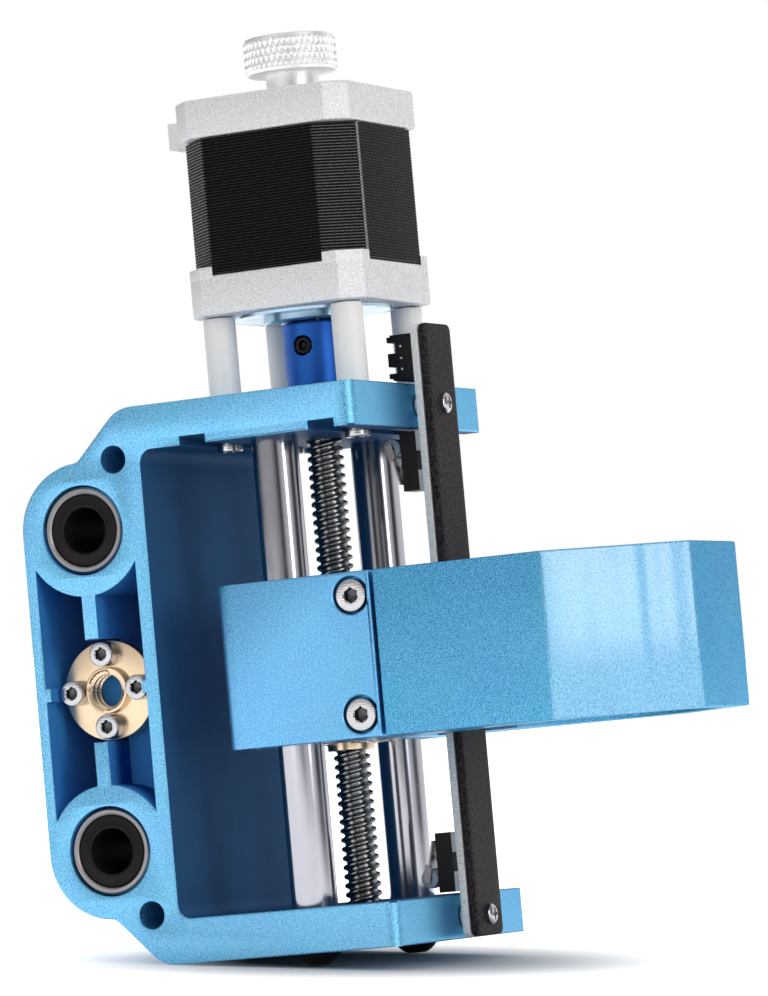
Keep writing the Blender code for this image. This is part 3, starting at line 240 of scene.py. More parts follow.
def cap_screw(length, head, height, shank, socket):
    """A socket cap screw with its head above height 0 and its shank below."""
    side = [(AXIS, -length), (shank / 2 - 0.3, -length), (shank / 2, -length + 0.3), (shank / 2, 0)]
    rim = soften([(shank / 2, 0), (head / 2, 0, 0.15), (head / 2, height, 0.35), (socket * 0.62, height)])
    return head_with_socket(side + [tuple(p) for p in rim], height, socket, height * 0.55)


def button_screw(length, head, height, shank, socket):
    """A button-head screw: the head is a cap cut from a sphere through its rim and top."""
    sphere = (head ** 2 / 4 + height ** 2) / (2 * height)
    radii = np.linspace(head / 2, socket * 0.66, 14)
    dome = [(r, height - sphere + math.sqrt(sphere ** 2 - r ** 2)) for r in radii]
    side = [(AXIS, -length), (shank / 2, -length), (shank / 2, 0), (head / 2 - 0.1, 0)]
    return head_with_socket(side + dome, dome[-1][1], socket, height * 0.5)


def within(values, low, high):
    """Where values lie between the two limits."""
    return (values > low) & (values < high)


def in_socket(turn, at, height, socket):
    """A test of which faces lie in the socket of a cap screw turned and set at a place, below the mouth's rim."""
    def test(centres):
        x, y, z = ((centres - np.asarray(at, float)) @ TURN[turn]).T
        return (np.hypot(x, y) < socket * 0.6) & within(z, 0, height - 0.12)
    return test


def set_cap_screw(name, kind, length, turn, at, body, stands_for=()):
    """One cap screw at its place, with the socket in its own shade."""
    socket_faces = in_socket(turn, at, kind["height"], kind["socket"])
    make(name, moved(cap_screw(length, **kind), turn, at), STAINLESS, body, stands_for,
         areas=[(SOCKET_STEEL, socket_faces)])


def pan_screw(head, height):
    """A pan head with a cross recess, which lies where the point is near either of two crossed lines."""
    columns, rings = 96, 26
    fall, half_slot, slot_reach, slot_depth = 0.45, 0.07, 0.3, 0.55  # as parts of the head's height or width
    angle = np.linspace(0, math.tau, columns, endpoint=False)
    radii = np.linspace(head / 2, AXIS, rings)
    rows = [np.column_stack([head / 2 * np.cos(angle), head / 2 * np.sin(angle), np.zeros(columns)])]
    for r in radii:
        x, y = r * np.cos(angle), r * np.sin(angle)
        crown = height * (1 - fall * (2 * r / head) ** 4)
        slot = (np.minimum(abs(x), abs(y)) < head * half_slot) & (r < head * slot_reach)
        rows.append(np.column_stack([x, y, np.where(slot, crown - height * slot_depth, crown)]))
    return np.concatenate(rows), grid_faces(len(rows), columns)


def make(name, part, look, body, stands_for=(), sharp=35, areas=()):
    """The mesh of a part as a piece riding on its body. Each area is (look, test of all the faces' centres)."""
    points, faces = part
    mesh = bpy.data.meshes.new(name)
    mesh.from_pydata(((points + DRAWN_AT) * MM).tolist(), [], faces)
    work = bmesh.new()
    work.from_mesh(mesh)
    bmesh.ops.remove_doubles(work, verts=work.verts, dist=2e-6)
    bmesh.ops.dissolve_degenerate(work, edges=work.edges, dist=1e-7)
    bmesh.ops.recalc_face_normals(work, faces=work.faces)
    work.to_mesh(mesh)
    work.free()
    mesh.shade_smooth()
    mesh.set_sharp_from_angle(angle=math.radians(sharp))
    mesh.materials.append(look)
    centres = np.empty(len(mesh.polygons) * 3)
    mesh.polygons.foreach_get("center", centres)
    centres = centres.reshape(-1, 3) / MM - DRAWN_AT
    number = np.zeros(len(centres), int)
    for i, (other, test) in enumerate(areas, 1):
        mesh.materials.append(other)
        number[test(centres)] = i
    mesh.polygons.foreach_set("material_index", number)
    piece = bpy.data.objects.new(name, mesh)
    bpy.context.scene.collection.objects.link(piece)
    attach(piece, body)
    if stands_for:
        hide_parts(*stands_for)
    return piece


# Materials

def srgb(code):
    """A hex colour as linear red, green, blue and alpha."""
    values = [int(code[i:i + 2], 16) / 255 for i in (1, 3, 5)]
    return tuple(v / 12.92 if v <= 0.04045 else ((v + 0.055) / 1.055) ** 2.4 for v in values) + (1.0,)


def add(tree, kind, values=(), **settings):
    """A node with its settings; values give an input's number, or the output that feeds it."""
    made = tree.nodes.new(kind)
    for key, value in settings.items():
        setattr(made, key, value)
    for key, value in dict(values).items():
        if isinstance(value, bpy.types.NodeSocket):
            tree.links.new(value, made.inputs[key])
        else:
            made.inputs[key].default_value = value
    return made


def start(name, color, roughness, metallic=0.0):
    """A material and its tree, shader and the place that patterns read, in metres."""
    result = bpy.data.materials.new(name)
    result.use_nodes = True
    tree = result.node_tree
    shader = tree.nodes["Principled BSDF"]
    shader.inputs["Base Color"].default_value = srgb(color)
    shader.inputs["Roughness"].default_value = roughness
    shader.inputs["Metallic"].default_value = metallic
    place = add(tree, "ShaderNodeTexCoord").outputs["Object"]
    return result, tree, shader, place


def per_mm(size):
    """The noise scale whose features are about size millimetres across, on coordinates in metres."""
    return 1 / (size * MM)


def blasted_anodised(name, color, dark, bright, grain, depth, satin=0.4, coat=0.4, coat_ior=1.5, bands=0.0):
    """Anodised aluminium, blasted first: sparkling pits, a satin sheen and, where asked, soft bands along Z."""
    look, tree, shader, place = start(name, color, satin, metallic=0.9)
    shader.inputs["Specular Tint"].default_value = srgb("#8CCBEC")
    shader.inputs["Coat Weight"].default_value = coat
    shader.inputs["Coat IOR"].default_value = coat_ior
    shader.inputs["Coat Roughness"].default_value = 0.22
    pits = add(tree, "ShaderNodeTexNoise", {"Vector": place, "Scale": per_mm(grain), "Detail": 2.0,
                                            "Roughness": 0.7})
    patches = add(tree, "ShaderNodeTexNoise", {"Vector": place, "Scale": per_mm(14.0), "Detail": 2.0})
    tone = add(tree, "ShaderNodeValToRGB", {"Fac": pits.outputs["Fac"]})
    for stop, position, code in zip(tone.color_ramp.elements, (0.38, 0.62), (dark, bright)):
        stop.position, stop.color = position, srgb(code)
    cloud = add(tree, "ShaderNodeMix", {"Factor": 0.12, "A": tone.outputs["Color"],
                                        "B": patches.outputs["Color"]}, data_type="RGBA", blend_type="OVERLAY")
    tree.links.new(cloud.outputs["Result"], shader.inputs["Base Color"])
    rough = add(tree, "ShaderNodeMapRange", {"Value": pits.outputs["Fac"], "From Min": 0.3, "From Max": 0.7,
                                             "To Min": satin - 0.1, "To Max": satin + 0.1})
    tree.links.new(rough.outputs["Result"], shader.inputs["Roughness"])
    bump = add(tree, "ShaderNodeBump", {"Height": pits.outputs["Fac"], "Strength": depth, "Distance": 0.12 * MM})
    if bands:
        along = add(tree, "ShaderNodeMapping", {"Vector": place, "Scale": (1.0, 1.0, 0.0)})
        waves = add(tree, "ShaderNodeTexNoise", {"Vector": along.outputs["Vector"], "Scale": per_mm(8.0),
                                                 "Detail": 1.0})
        swell = add(tree, "ShaderNodeBump", {"Height": waves.outputs["Fac"], "Strength": bands,
                                             "Distance": 1.0 * MM})
        tree.links.new(swell.outputs["Normal"], shader.inputs["Coat Normal"])
    tree.links.new(bump.outputs["Normal"], shader.inputs["Normal"])
    return look


def polished(name, color, roughness, wave_size=0.0, turn_axis="Z"):
    """Ground or turned metal: bright, with faint tool lines, each wave_size millimetres wide, where that is given."""
    look, tree, shader, place = start(name, color, roughness, metallic=1.0)
    mottle = add(tree, "ShaderNodeTexNoise", {"Vector": place, "Scale": per_mm(6.0), "Detail": 4.0})
    rough = add(tree, "ShaderNodeMapRange", {"Value": mottle.outputs["Fac"], "To Min": roughness * 0.7,
                                             "To Max": roughness * 1.5})
    tree.links.new(rough.outputs["Result"], shader.inputs["Roughness"])
    if wave_size:
        lines = add(tree, "ShaderNodeTexWave", {"Vector": place, "Scale": per_mm(wave_size) / math.tau,
                                                "Distortion": 0.6, "Detail": 2.0}, bands_direction=turn_axis)
        bump = add(tree, "ShaderNodeBump", {"Height": lines.outputs["Fac"], "Strength": 0.12,
                                            "Distance": 0.03 * MM})
        tree.links.new(bump.outputs["Normal"], shader.inputs["Normal"])
    return look


def grainy(name, color, roughness, grain, depth, metallic=0.0, contrast=0.2, gloss=0.5, spread=0.2):
    """Cast metal or textured plastic: a grain that lightens and darkens the colour and makes the surface rough.

    The colour is scaled by one less to one plus contrast, as the noise goes from half less to half plus spread.
    """
    look, tree, shader, place = start(name, color, roughness, metallic)
    shader.inputs["Specular IOR Level"].default_value = gloss
    noise = add(tree, "ShaderNodeTexNoise", {"Vector": place, "Scale": per_mm(grain), "Detail": 3.0,
                                             "Roughness": 0.65})
    light = add(tree, "ShaderNodeMapRange", {"Value": noise.outputs["Fac"], "From Min": 0.5 - spread,
                                             "From Max": 0.5 + spread, "To Min": 1 - contrast,
                                             "To Max": 1 + contrast})
    tint = add(tree, "ShaderNodeMix", {"Factor": 1.0, "A": srgb(color), "B": light.outputs["Result"]},
               data_type="RGBA", blend_type="MULTIPLY")
    tree.links.new(tint.outputs["Result"], shader.inputs["Base Color"])
    bump = add(tree, "ShaderNodeBump", {"Height": noise.outputs["Fac"], "Strength": depth, "Distance": 0.1 * MM})
    tree.links.new(bump.outputs["Normal"], shader.inputs["Normal"])
    return look


# Grains and tool lines are given in millimetres. Real ones are mostly under 0.1 mm, too fine to show, so they are
# drawn coarser: 0.2 to 0.6 mm on blasted, cast and turned metal, and up to 1.2 mm on moulded plastic.

# Blasted before anodising: a sparkling pale blue. Pits of about 0.1 mm are drawn 0.35 mm
FRAME_BLUE = blasted_anodised("blasted anodised aluminium, frame", "#5FB0DC", dark="#4CA4D6", bright="#90D3F4",
                              grain=0.35, depth=0.45)
# Painted shade: inside the extrusion's throat the faces get a smooth, deep blue that stands in for the shade there,
# with slow 9 mm clouds
FRAME_THROAT_PAINTED_SHADE = grainy("anodised aluminium, painted shade", "#275A88", roughness=0.5, metallic=0.1, grain=9.0, depth=0.02,
                      contrast=0.08, gloss=0.03)
# Painted shade, less deep: the pockets behind it open to the light, so their blue is brighter than in the throat
FRAME_POCKETS_PAINTED_SHADE = grainy("anodised aluminium, painted shade, pockets", "#3C86CC", roughness=0.5, metallic=0.1, grain=9.0,
                       depth=0.02, contrast=0.08, gloss=0.03)
# The carriage is blasted more softly: smoother and less bright
CARRIAGE_BLUE = blasted_anodised("blasted anodised aluminium, carriage", "#6AB6E2", dark="#4C9CD0",
                                 bright="#80C2EA", grain=0.4, depth=0.3)
# The clamp's sides are deeper in colour than the carriage's, with a coarser grain that sparkles more
CLAMP_BLUE = blasted_anodised("blasted anodised aluminium, clamp", "#4A9CC4", dark="#1C7AAC", bright="#74C6EC",
                              grain=0.28, depth=0.9, satin=0.5, coat=0.3)
# Painted highlight: its slanting faces get a paler blue that stands in for the lamp's highlight there, with soft
# bands
CLAMP_SLANT_PAINTED_HIGHLIGHT = blasted_anodised("anodised aluminium, clamp, painted highlight", "#5AA8D0", dark="#3C92C0",
                                  bright="#86CAEA", grain=0.4, depth=0.5, satin=0.56, coat=1.0, coat_ior=1.8,
                                  bands=0.5)
# Hard chromed and ground bar: mirror bright with nothing to catch the light but its roundness
CHROME = polished("hard-chromed ground steel", "#B2B2BA", roughness=0.14)
# Stainless screws, turned: bright faces with fine lines, drawn 0.3 mm wide
STAINLESS = polished("turned stainless steel", "#B8B8BA", roughness=0.2, wave_size=0.3)
# Rolled thread, bright crests and oily roots
THREAD_STEEL = polished("rolled thread steel", "#8E8D8B", roughness=0.22)
# Ground shells and pressed levers under a film of oil: a duller, darker gleam
BEARING_STEEL = polished("hardened bearing steel, oiled", "#8C8A8C", roughness=0.3, wave_size=0.2)
# Black oxide leaves steel nearly black, with a dim metallic sheen
BLACK_OXIDE = grainy("black-oxide steel", "#232326", roughness=0.38, metallic=0.8, grain=0.5, depth=0.1)
# Brass faced on a lathe: pale gold, with fine tool lines, drawn 0.25 mm wide
BRASS = polished("machined brass", "#DCC4A6", roughness=0.24, wave_size=0.25, turn_axis="X")
# Dyed deep and turned: a royal blue with a soft gleam
COUPLING_BLUE = polished("anodised aluminium, coupling", "#2F66BC", roughness=0.42, wave_size=0.25)
# Pressure die casting: sparkling pale grain
DIE_CAST = grainy("die-cast aluminium", "#E6E5E7", roughness=0.5, metallic=0.35, grain=0.4, depth=0.6,
                  contrast=0.26)
# Stamped sheets under black lacquer: nearly black and a little glossy
LAMINATION = grainy("lacquered steel laminations", "#070608", roughness=0.42, grain=0.6, depth=0.2,
                    contrast=0.3, gloss=0.05)
# Painted highlight: the sheets' corner and the seams on the slanting sides, which face the light, shine as pale steel
LAMINATION_PAINTED_HIGHLIGHT = grainy("laminations, painted highlight", "#949496", roughness=0.35, metallic=0.8, grain=0.5,
                    depth=0.3)
# In the seams the lacquer runs thin over the sheets' rims, which draws a fine grey line
SEAM_EDGE = grainy("thinly lacquered rims of the laminations", "#4C4B4D", roughness=0.3, metallic=0.5,
                   grain=0.5, depth=0.2)
# A broached socket is rough and lies in shade, so it reads darker than the head
SOCKET_STEEL = grainy("broached socket, in shade", "#5C5B5D", roughness=0.35, metallic=0.9, grain=0.6,
                      depth=0.2)
# Zinc plating has a pale, bluish gleam
ZINC = polished("zinc-plated steel, blue passivated", "#A4BCCC", roughness=0.24, wave_size=0.3)
# Rolled knurling on pale aluminium: a bright, soft sparkle from its points
KNURLED = polished("knurled aluminium", "#F8F8F9", roughness=0.4)
# Moulded nylon is milky and almost smooth
NYLON = grainy("moulded nylon", "#FCF9F6", roughness=0.42, grain=1.2, depth=0.06, contrast=0.03)
# ABS from a spark-textured mould: a dry black with a pebbled grain, drawn 0.6 mm
COVER_PLASTIC = grainy("textured black ABS", "#2C2829", roughness=0.5, grain=0.6, depth=1.0, contrast=0.85,
                       gloss=0.08, spread=0.1)
# The switch cases and header are smoother and blacker
SWITCH_PLASTIC = grainy("moulded black PBT", "#0D0C10", roughness=0.42, grain=0.8, depth=0.1, contrast=0.15,
                        gloss=0.2)
# A routed glass-fibre edge is pale, dry and fuzzy
ROUTED_EDGE = grainy("routed glass-fibre board edge", "#DEDEDC", roughness=0.7, grain=0.3, depth=0.5,
                     contrast=0.35)
# Light grey mouldings with a dull shine
FOOT_PLASTIC = grainy("moulded grey plastic", "#D2D8DC", roughness=0.5, grain=0.8, depth=0.1, contrast=0.08)
# Rubber takes up most of the light
SEAL = grainy("nitrile rubber", "#141012", roughness=0.5, grain=0.4, depth=0.2, contrast=0.2, gloss=0.2)
# Acetal is waxy: smooth and fairly glossy
ROLLER_PLASTIC = grainy("moulded acetal", "#9FB4C4", roughness=0.3, grain=0.8, depth=0.05, contrast=0.05)


# The frame extrusion: its profile in (Y, Z), carried along X

def frame_outline():
    """Counter-clockwise outline: two lobes behind, shoulders as tangent lines, two arms and the throat."""
    upper = (CROSS_Y, MID + CROSS_SPACING / 2)
    lobe_top = upper[1] + LOBE
    shoulder_foot = SHOULDER_Y + FRAME_HEIGHT - lobe_top
    grooves = []
    for y in (-BOLT, BOLT):
        front, back = y - GROOVE_WIDTH / 2, y + GROOVE_WIDTH / 2
        roof = UPPER_ARM + GROOVE_DEPTH
        grooves += [(front, UPPER_ARM, 0.2), (front, roof, 0.2), (back, roof, 0.2), (back, UPPER_ARM, 0.2)]
    back = [(y, z, 0) for y, z in arc(upper, LOBE, 0, 84, 28)]
    back += [(shoulder_foot, lobe_top, SHOULDER_FILLET), (SHOULDER_Y, FRAME_HEIGHT, SHOULDER_RADIUS)]
    front = [(ARM_FRONT, FRAME_HEIGHT, 0.4), (ARM_FRONT, UPPER_ARM, 0.4)]
    throat = [(THROAT_BACK, UPPER_ARM, CORNER), (THROAT_BACK, ARM, CORNER)]
    lower_front = [(y, FRAME_HEIGHT - z, r) for y, z, r in reversed(front)]
    lower_back = [(y, FRAME_HEIGHT - z, r) for y, z, r in reversed(back)]
    return soften(back + front + grooves + throat + lower_front + lower_back, 8, closed=True)


def quarter_wall(side_y):
    """From a stub along the web and a bearing housing to the rib, about the nut's axis, drawn for the upper rear."""
    web = REAR_WEB_Y - CROSS_Y if side_y > 0 else CROSS_Y - FRONT_WEB_Y
    start, end = math.degrees(math.asin(web / HOUSING)), math.degrees(math.asin(RIB / HOUSING))
    turn = np.radians(np.linspace(start, end, 18))
    housing = np.column_stack([HOUSING * np.sin(turn), CROSS_SPACING / 2 - HOUSING * np.cos(turn)])
    return np.concatenate([[(web, STUB)], housing])


def quarter_pocket(side_y, side_z):
    """One deep pocket between web, housing, rib and nut boss, clockwise."""
    first, last = math.degrees(math.acos(RIB / BOSS)), math.degrees(math.asin(STUB / BOSS))
    points = np.concatenate([quarter_wall(side_y), arc((0, 0), BOSS, first, last, 24)]) * (side_y, side_z)
    points += (CROSS_Y, MID)
    return points if side_y * side_z < 0 else points[::-1]


def open_pocket():
    """The pocket at the nut's end, where ribs and stubs stop at the milled circle, clockwise."""
    points, nut_axis = [], (0, 0)
    at_rib, at_stub = math.degrees(math.acos(RIB / POCKET)), math.degrees(math.asin(STUB / POCKET))
    for side_y, side_z in ((1, 1), (-1, 1), (-1, -1), (1, -1)):
        if side_y * side_z > 0:
            before, after = arc(nut_axis, POCKET, 0, at_stub, 4), arc(nut_axis, POCKET, at_rib, 90, 5)
            path = np.concatenate([before, quarter_wall(side_y), after])
        else:
            before, after = arc(nut_axis, POCKET, 90, at_rib, 5)[1:], arc(nut_axis, POCKET, at_stub, 0, 4)[:-1]
            path = np.concatenate([before, quarter_wall(side_y)[::-1], after])
        points.append(path * (side_y, side_z))
    loop = np.concatenate(points) + (CROSS_Y, MID)
    return loop[::-1]


def round_front(part):
    """The arms' front corners: a quarter circle in plan, so no point lies further forward than it allows."""
    points, faces = part
    x, y = points[:, 2], points[:, 0]
    over = np.clip(abs(x) - (FRAME_LENGTH / 2 - CORNER), 0, CORNER)
    limit = ARM_FRONT + CORNER - np.sqrt(np.maximum(CORNER ** 2 - over ** 2, 0))
    points = points.copy()
    points[:, 0] = np.maximum(y, limit)
    return points, faces


def frame_rows(edge):
    """Rows along X, closer together where the front corners curve: at equal turns of their quarter circle."""
    half = FRAME_LENGTH / 2
    rim = edge_rows(-half, half, edge)
    middle = len(rim) // 2
    at_turns = -half + CORNER * (1 - np.sin(np.radians(np.linspace(78, 0, 9))))
    left = [(0, x) for x in at_turns if x > -half + edge]
    right = [(0, -x) for _, x in reversed(left)]
    return rim[:middle] + left + right + rim[middle:]


# These faces take the painted shade of the throat
def in_throat(centres):
    """Which faces of the extrusion bound its throat, away from the two ends."""
    x, y, z = centres.T
    level = within(z, ARM - 0.5, UPPER_ARM + GROOVE_DEPTH + 0.1)
    return (abs(x) < FRAME_LENGTH / 2 - 0.3) & level & within(y, ARM_FRONT + 0.5, THROAT_BACK + 0.1)


# These faces take the lighter painted shade of the pockets
def in_hollow_back(centres):
    """Which of its faces bound the pockets and holes behind the throat."""
    x, y, z = centres.T
    level = abs(z - MID) < CROSS_SPACING / 2 + 1
    return (abs(x) < FRAME_LENGTH / 2 - 0.3) & level & within(y, FRONT_WEB_Y - 0.2, REAR_WEB_Y + 0.2)


def build_frame():
    """Walls round every outline, and three flat faces: the two ends and the ledge that the nut's flange sits on."""
    half, edge = FRAME_LENGTH / 2, 0.35
    outline = frame_outline()
    rows = frame_rows(edge)
    rim = edge_rows(-half, half, edge)
    left_rim, right_rim = rim[:len(rim) // 2], rim[len(rim) // 2:]
    bores = [round_hole((CROSS_Y, MID + s * CROSS_SPACING / 2), BEARING + GAP, 96) for s in (-1, 1)]
    cores = [round_hole((CORE_Y, MID + s * CORE_OFFSET), CORE_HOLE, 40) for s in (-1, 1)]
    quarters = [quarter_pocket(y, z) for y in (-1, 1) for z in (-1, 1)]
    nut_bore = round_hole((CROSS_Y, MID), NUT_BORE, 64)
    mouth = open_pocket()
    ledge = -half + POCKET_DEPTH
    parts = [round_front(wall(outline, rows))]
    parts += [wall(loop, rim) for loop in bores + cores]
    parts.append(wall(mouth, left_rim + [(0, ledge)]))
    parts += [wall(loop, [(0, ledge)] + right_rim) for loop in quarters + [nut_bore]]
    left = [inset(loop, edge) for loop in [outline] + bores + cores + [mouth]]
    right = [inset(loop, edge) for loop in [outline] + bores + cores + quarters + [nut_bore]]
    parts += [round_front(cap(left, -half)), round_front(cap(right, half))]
    parts.append(cap([mouth[::-1]] + quarters + [nut_bore], ledge))
    # The inside faces get the two painted shades
    make("frame_body", moved(joined(parts), "X"), FRAME_BLUE, "frame", ["frame_extrusion"], sharp=40,
         areas=[(FRAME_THROAT_PAINTED_SHADE, in_throat), (FRAME_POCKETS_PAINTED_SHADE, in_hollow_back)])


def build_bearings():
    """Linear bearings: a ground shell with chamfered ends, and a seal with a lip set inside each end."""
    half, outer, inner = BEARING_LENGTH / 2, BEARING, BEARING - BEARING_WALL
    bevel, mouth, sunk, from_end = 0.5, 0.3, 0.6, 0.6
    left = [(inner, -half + mouth), (inner + mouth, -half), (outer - bevel, -half), (outer, -half + bevel)]
    shell = left + [(r, -h) for r, h in reversed(left)] + [left[0]]
    face = half - sunk
    lip = [(ROD + 0.1, -face), (ROD + 0.5, -face - 0.25), (ROD + 0.9, -face), (inner - 0.5, -face),
           (inner - 0.3, -face - 0.2), (inner - 0.05, -face)]
    seal = lip + [(r, -h) for r, h in reversed(lip)] + [lip[0]]
    centre_x = FRAME_LENGTH / 2 - from_end - half
    across = [(x, CROSS_Y, MID + z * CROSS_SPACING / 2) for x in (-centre_x, centre_x) for z in (1, -1)]
    upright = [(x, 0, CARRIAGE_MID) for x in (-ROD_X, ROD_X)]
    places = [(f"x_bearing_{i}", "X", at, "frame") for i, at in enumerate(across, 1)]
    places += [(f"z_bearing_{i}", "Z", at, "slider") for i, at in enumerate(upright, 1)]
    for node, turn, at, body in places:
        make(f"{node}_shell", moved(turned(shell), turn, at), BEARING_STEEL, body, [node])
        make(f"{node}_seals", moved(turned(seal), turn, at), SEAL, body)


def build_rods():
    """Plain bars with rounded rims, each held by a button screw from below."""
    low, high = ARM - LOWER_SEAT + GAP, UPPER_ARM + UPPER_SEAT - GAP
    profile = soften([(AXIS, low), (ROD, low, 0.5), (ROD, high, 0.5), (AXIS, high)])
    for name, x in (("guide_rod_left", -ROD_X), ("guide_rod_right", ROD_X)):
        make(f"{name}_bar", moved(turned(profile, 128), "Z", (x, 0, 0)), CHROME, "frame", [name])
    for i, x in enumerate((-ROD_X, ROD_X)):
        screw = moved(button_screw(8.0, **M5_BUTTON), "-Z", (x, 0, -GAP))
        make(f"rod_end_button_{i + 1}", screw, BLACK_OXIDE, "frame", [f"rod_end_screw_{i + 1}"])


def thread(heights, columns, phases, radii):
    """A two-start thread's radius at each height and turn: it follows height less lead times turn, over pitch."""
    turn = np.linspace(0, 1, columns, endpoint=False)[None, :]
    phase = ((heights[:, None] - THREAD_LEAD * turn) / THREAD_PITCH) % 1
    return np.interp(phase, phases, radii)


def build_leadscrew():
    """The trapezoidal thread from end to end, closed by a disc at each."""
    low, high, row, columns = 3.3, 123.7, 0.125, 56
    heights = np.arange(low, high, row)
    crest, root = THREAD_CREST, THREAD_ROOT
    radius = thread(heights, columns, [0, 0.27, 0.45, 0.82, 1], [crest, crest, root, root, crest])
    closing = [turned([(crest - 0.9, z), (AXIS, z)], columns) for z in (low, float(heights[-1]))]
    make("threaded_leadscrew", joined([around(radius, heights[:, None])] + closing), THREAD_STEEL, "drive",
         ["leadscrew"], sharp=50)


def nut(lip=1.6, flange=3.5, length=10.0):
    """A flanged nut with its lip up and its seat at height 0; its bore follows the screw's two-start thread."""
    top, low, columns = flange + lip, -length, 96
    mouth, neck, rim = 4.5, 5.1, 11.0
    crest, root = 3.6, 4.35
    profile = soften([(mouth, top), (neck, top, 0.2), (neck, flange, 0), (rim, flange, 0.25), (rim, 0, 0.25),
                      (neck, 0, 0), (neck, low, 0.3), (mouth, low)])
    heights = np.arange(low + 0.4, top - 0.3, 0.14)
    radius = thread(heights, columns, [0, 0.3, 0.45, 0.85, 1], [root, root, crest, crest, root])
    rows = [tuple(p) for p in profile] + list(zip(radius, heights))
    return turned(rows + [rows[0]], columns)


def build_nuts():
    """The cross-screw nut in its milled seat and the carriage's nut from below, each with a ring of four screws."""
    seat, flange, screw_ring = (-FRAME_LENGTH / 2 + 10, CROSS_Y, MID), 3.5, 8
    make("x_nut_body", moved(nut(), "-X", seat), BRASS, "frame", ["x_nut"], sharp=28)
    for i in range(4):
        angle = math.tau * i / 4
        at = (seat[0] - flange, CROSS_Y + screw_ring * math.sin(angle), MID + screw_ring * math.cos(angle))
        set_cap_screw(f"x_nut_cap_screw_{i + 1}", M3_CAP, 9.0, "-X", at, "frame")
    make("z_nut_body", moved(nut(), "-Z", (0, 0, CARRIAGE_LOW + flange)), BRASS, "slider", ["z_nut"])
    for i in range(4):
        angle = math.tau * (i + 0.5) / 4
        at = (screw_ring * math.cos(angle), screw_ring * math.sin(angle), CARRIAGE_LOW)
        make(f"z_nut_pan_screw_{i + 1}", moved(pan_screw(5.5, 0.4), "-Z", at), STAINLESS, "slider")


def build_coupling():
    """A turned sleeve. Round each set screw the wall dips into a threaded hole, deeper than the screw lies."""
    low, high, outer, columns = COUPLING_LOW, COUPLING_HIGH, COUPLING, 176
    wide_bore, narrow_bore, step = 4.0, 2.8, low + 11
    hole, hole_depth, sink = 2.15, 2.8, 0.5
    between = np.arange(low + 0.5, high - 0.4, 0.25)
    heights = np.concatenate([[low, low, low + 0.15], between, [high - 0.15, high, high]])
    radii = np.full(len(heights), outer)
    radii[[0, -1]] = wide_bore
    radii[[1, -2]] = outer - 0.5
    radii[[2, -3]] = outer - 0.15
    angle = np.linspace(0, math.tau, columns, endpoint=False)
    places = (high - COUPLING_SET_DEPTH, low + COUPLING_SET_DEPTH)
    y, z = outer * np.sin(angle)[None, :], heights[:, None]
    radius = np.broadcast_to(radii[:, None], (len(heights), columns))
    for centre in places:
        near = (np.hypot(y, z - centre) < hole) & (np.cos(angle)[None, :] < 0)
        radius = np.where(near & (radii[:, None] > wide_bore), outer - hole_depth, radius)
    bore = turned([(wide_bore, low), (wide_bore, step), (narrow_bore, step), (narrow_bore, high), (wide_bore, high)],
                  columns)
    make("coupling_sleeve", joined([around(radius, z), bore]), COUPLING_BLUE, "drive",
         ["shaft_coupling"], sharp=30)
    length, radius, bevel = 3.2, 1.95, 0.25
    side = [(AXIS, -length), (radius, -length), (radius, -0.3), (radius - bevel, 0.0)]
    grub = head_with_socket(side, top=0.0, socket=2.0, depth=1.4)
    for i, centre in enumerate(places):
        make(f"coupling_grub_{i + 1}", moved(grub, "-X", (-outer + sink, 0, centre)), BLACK_OXIDE, "drive",
             [f"coupling_set_screw_{i + 1}"])


def build_knob():
    """Diamond knurl: two crossed helices of V grooves cut into the rim."""
    low, high, body_low = KNOB_LOW, KNOB_HIGH, KNOB_LOW + KNOB_NECK
    grooves, columns, row, lead, depth, sharpness = 46, 368, 0.16, 3.4, 0.42, 1.9
    chamfer, neck, shaft, dish, rim, hollow = 0.9, 5.8, 2.9, 0.3, 10.0, 3.0
    turn = np.linspace(0, 1, columns, endpoint=False)[None, :]
    heights = np.arange(body_low + chamfer, high - chamfer, row)[:, None]
    slant = (heights - body_low) / lead
    one_way = abs(2 * ((grooves * turn + slant) % 1) - 1)
    other_way = abs(2 * ((grooves * turn - slant) % 1) - 1)
    cut = depth * (1 - np.minimum(1, sharpness * np.minimum(one_way, other_way)))
    below = turned([(neck, low), (neck, body_low), (rim - 0.5, body_low), (rim - 0.2, body_low + 0.15),
                    (rim, body_low + chamfer)], columns)
    above = turned([(rim, high - chamfer), (rim - 0.2, high - 0.15), (rim - 0.6, high), (hollow + 0.2, high),
                    (hollow, high - dish), (AXIS, high - dish)], columns)
    foot = turned([(shaft, low), (neck, low)], columns)
    make("knurled_knob", joined([around(KNOB - cut, heights), below, above, foot]), KNURLED, "drive",
         ["hand_knob"], sharp=24)


# The stepper motor

def octagon(half, cut, corner=0.6):
    """A square of the given half width with its corners cut off, and each new corner rounded a little."""
    near = half - cut
    corners = [(half, near), (near, half), (-near, half), (-half, near), (-half, -near), (-near, -half),
               (near, -half), (half, -near)]
    return soften([(u, v, corner) for u, v in corners], 4, closed=True)


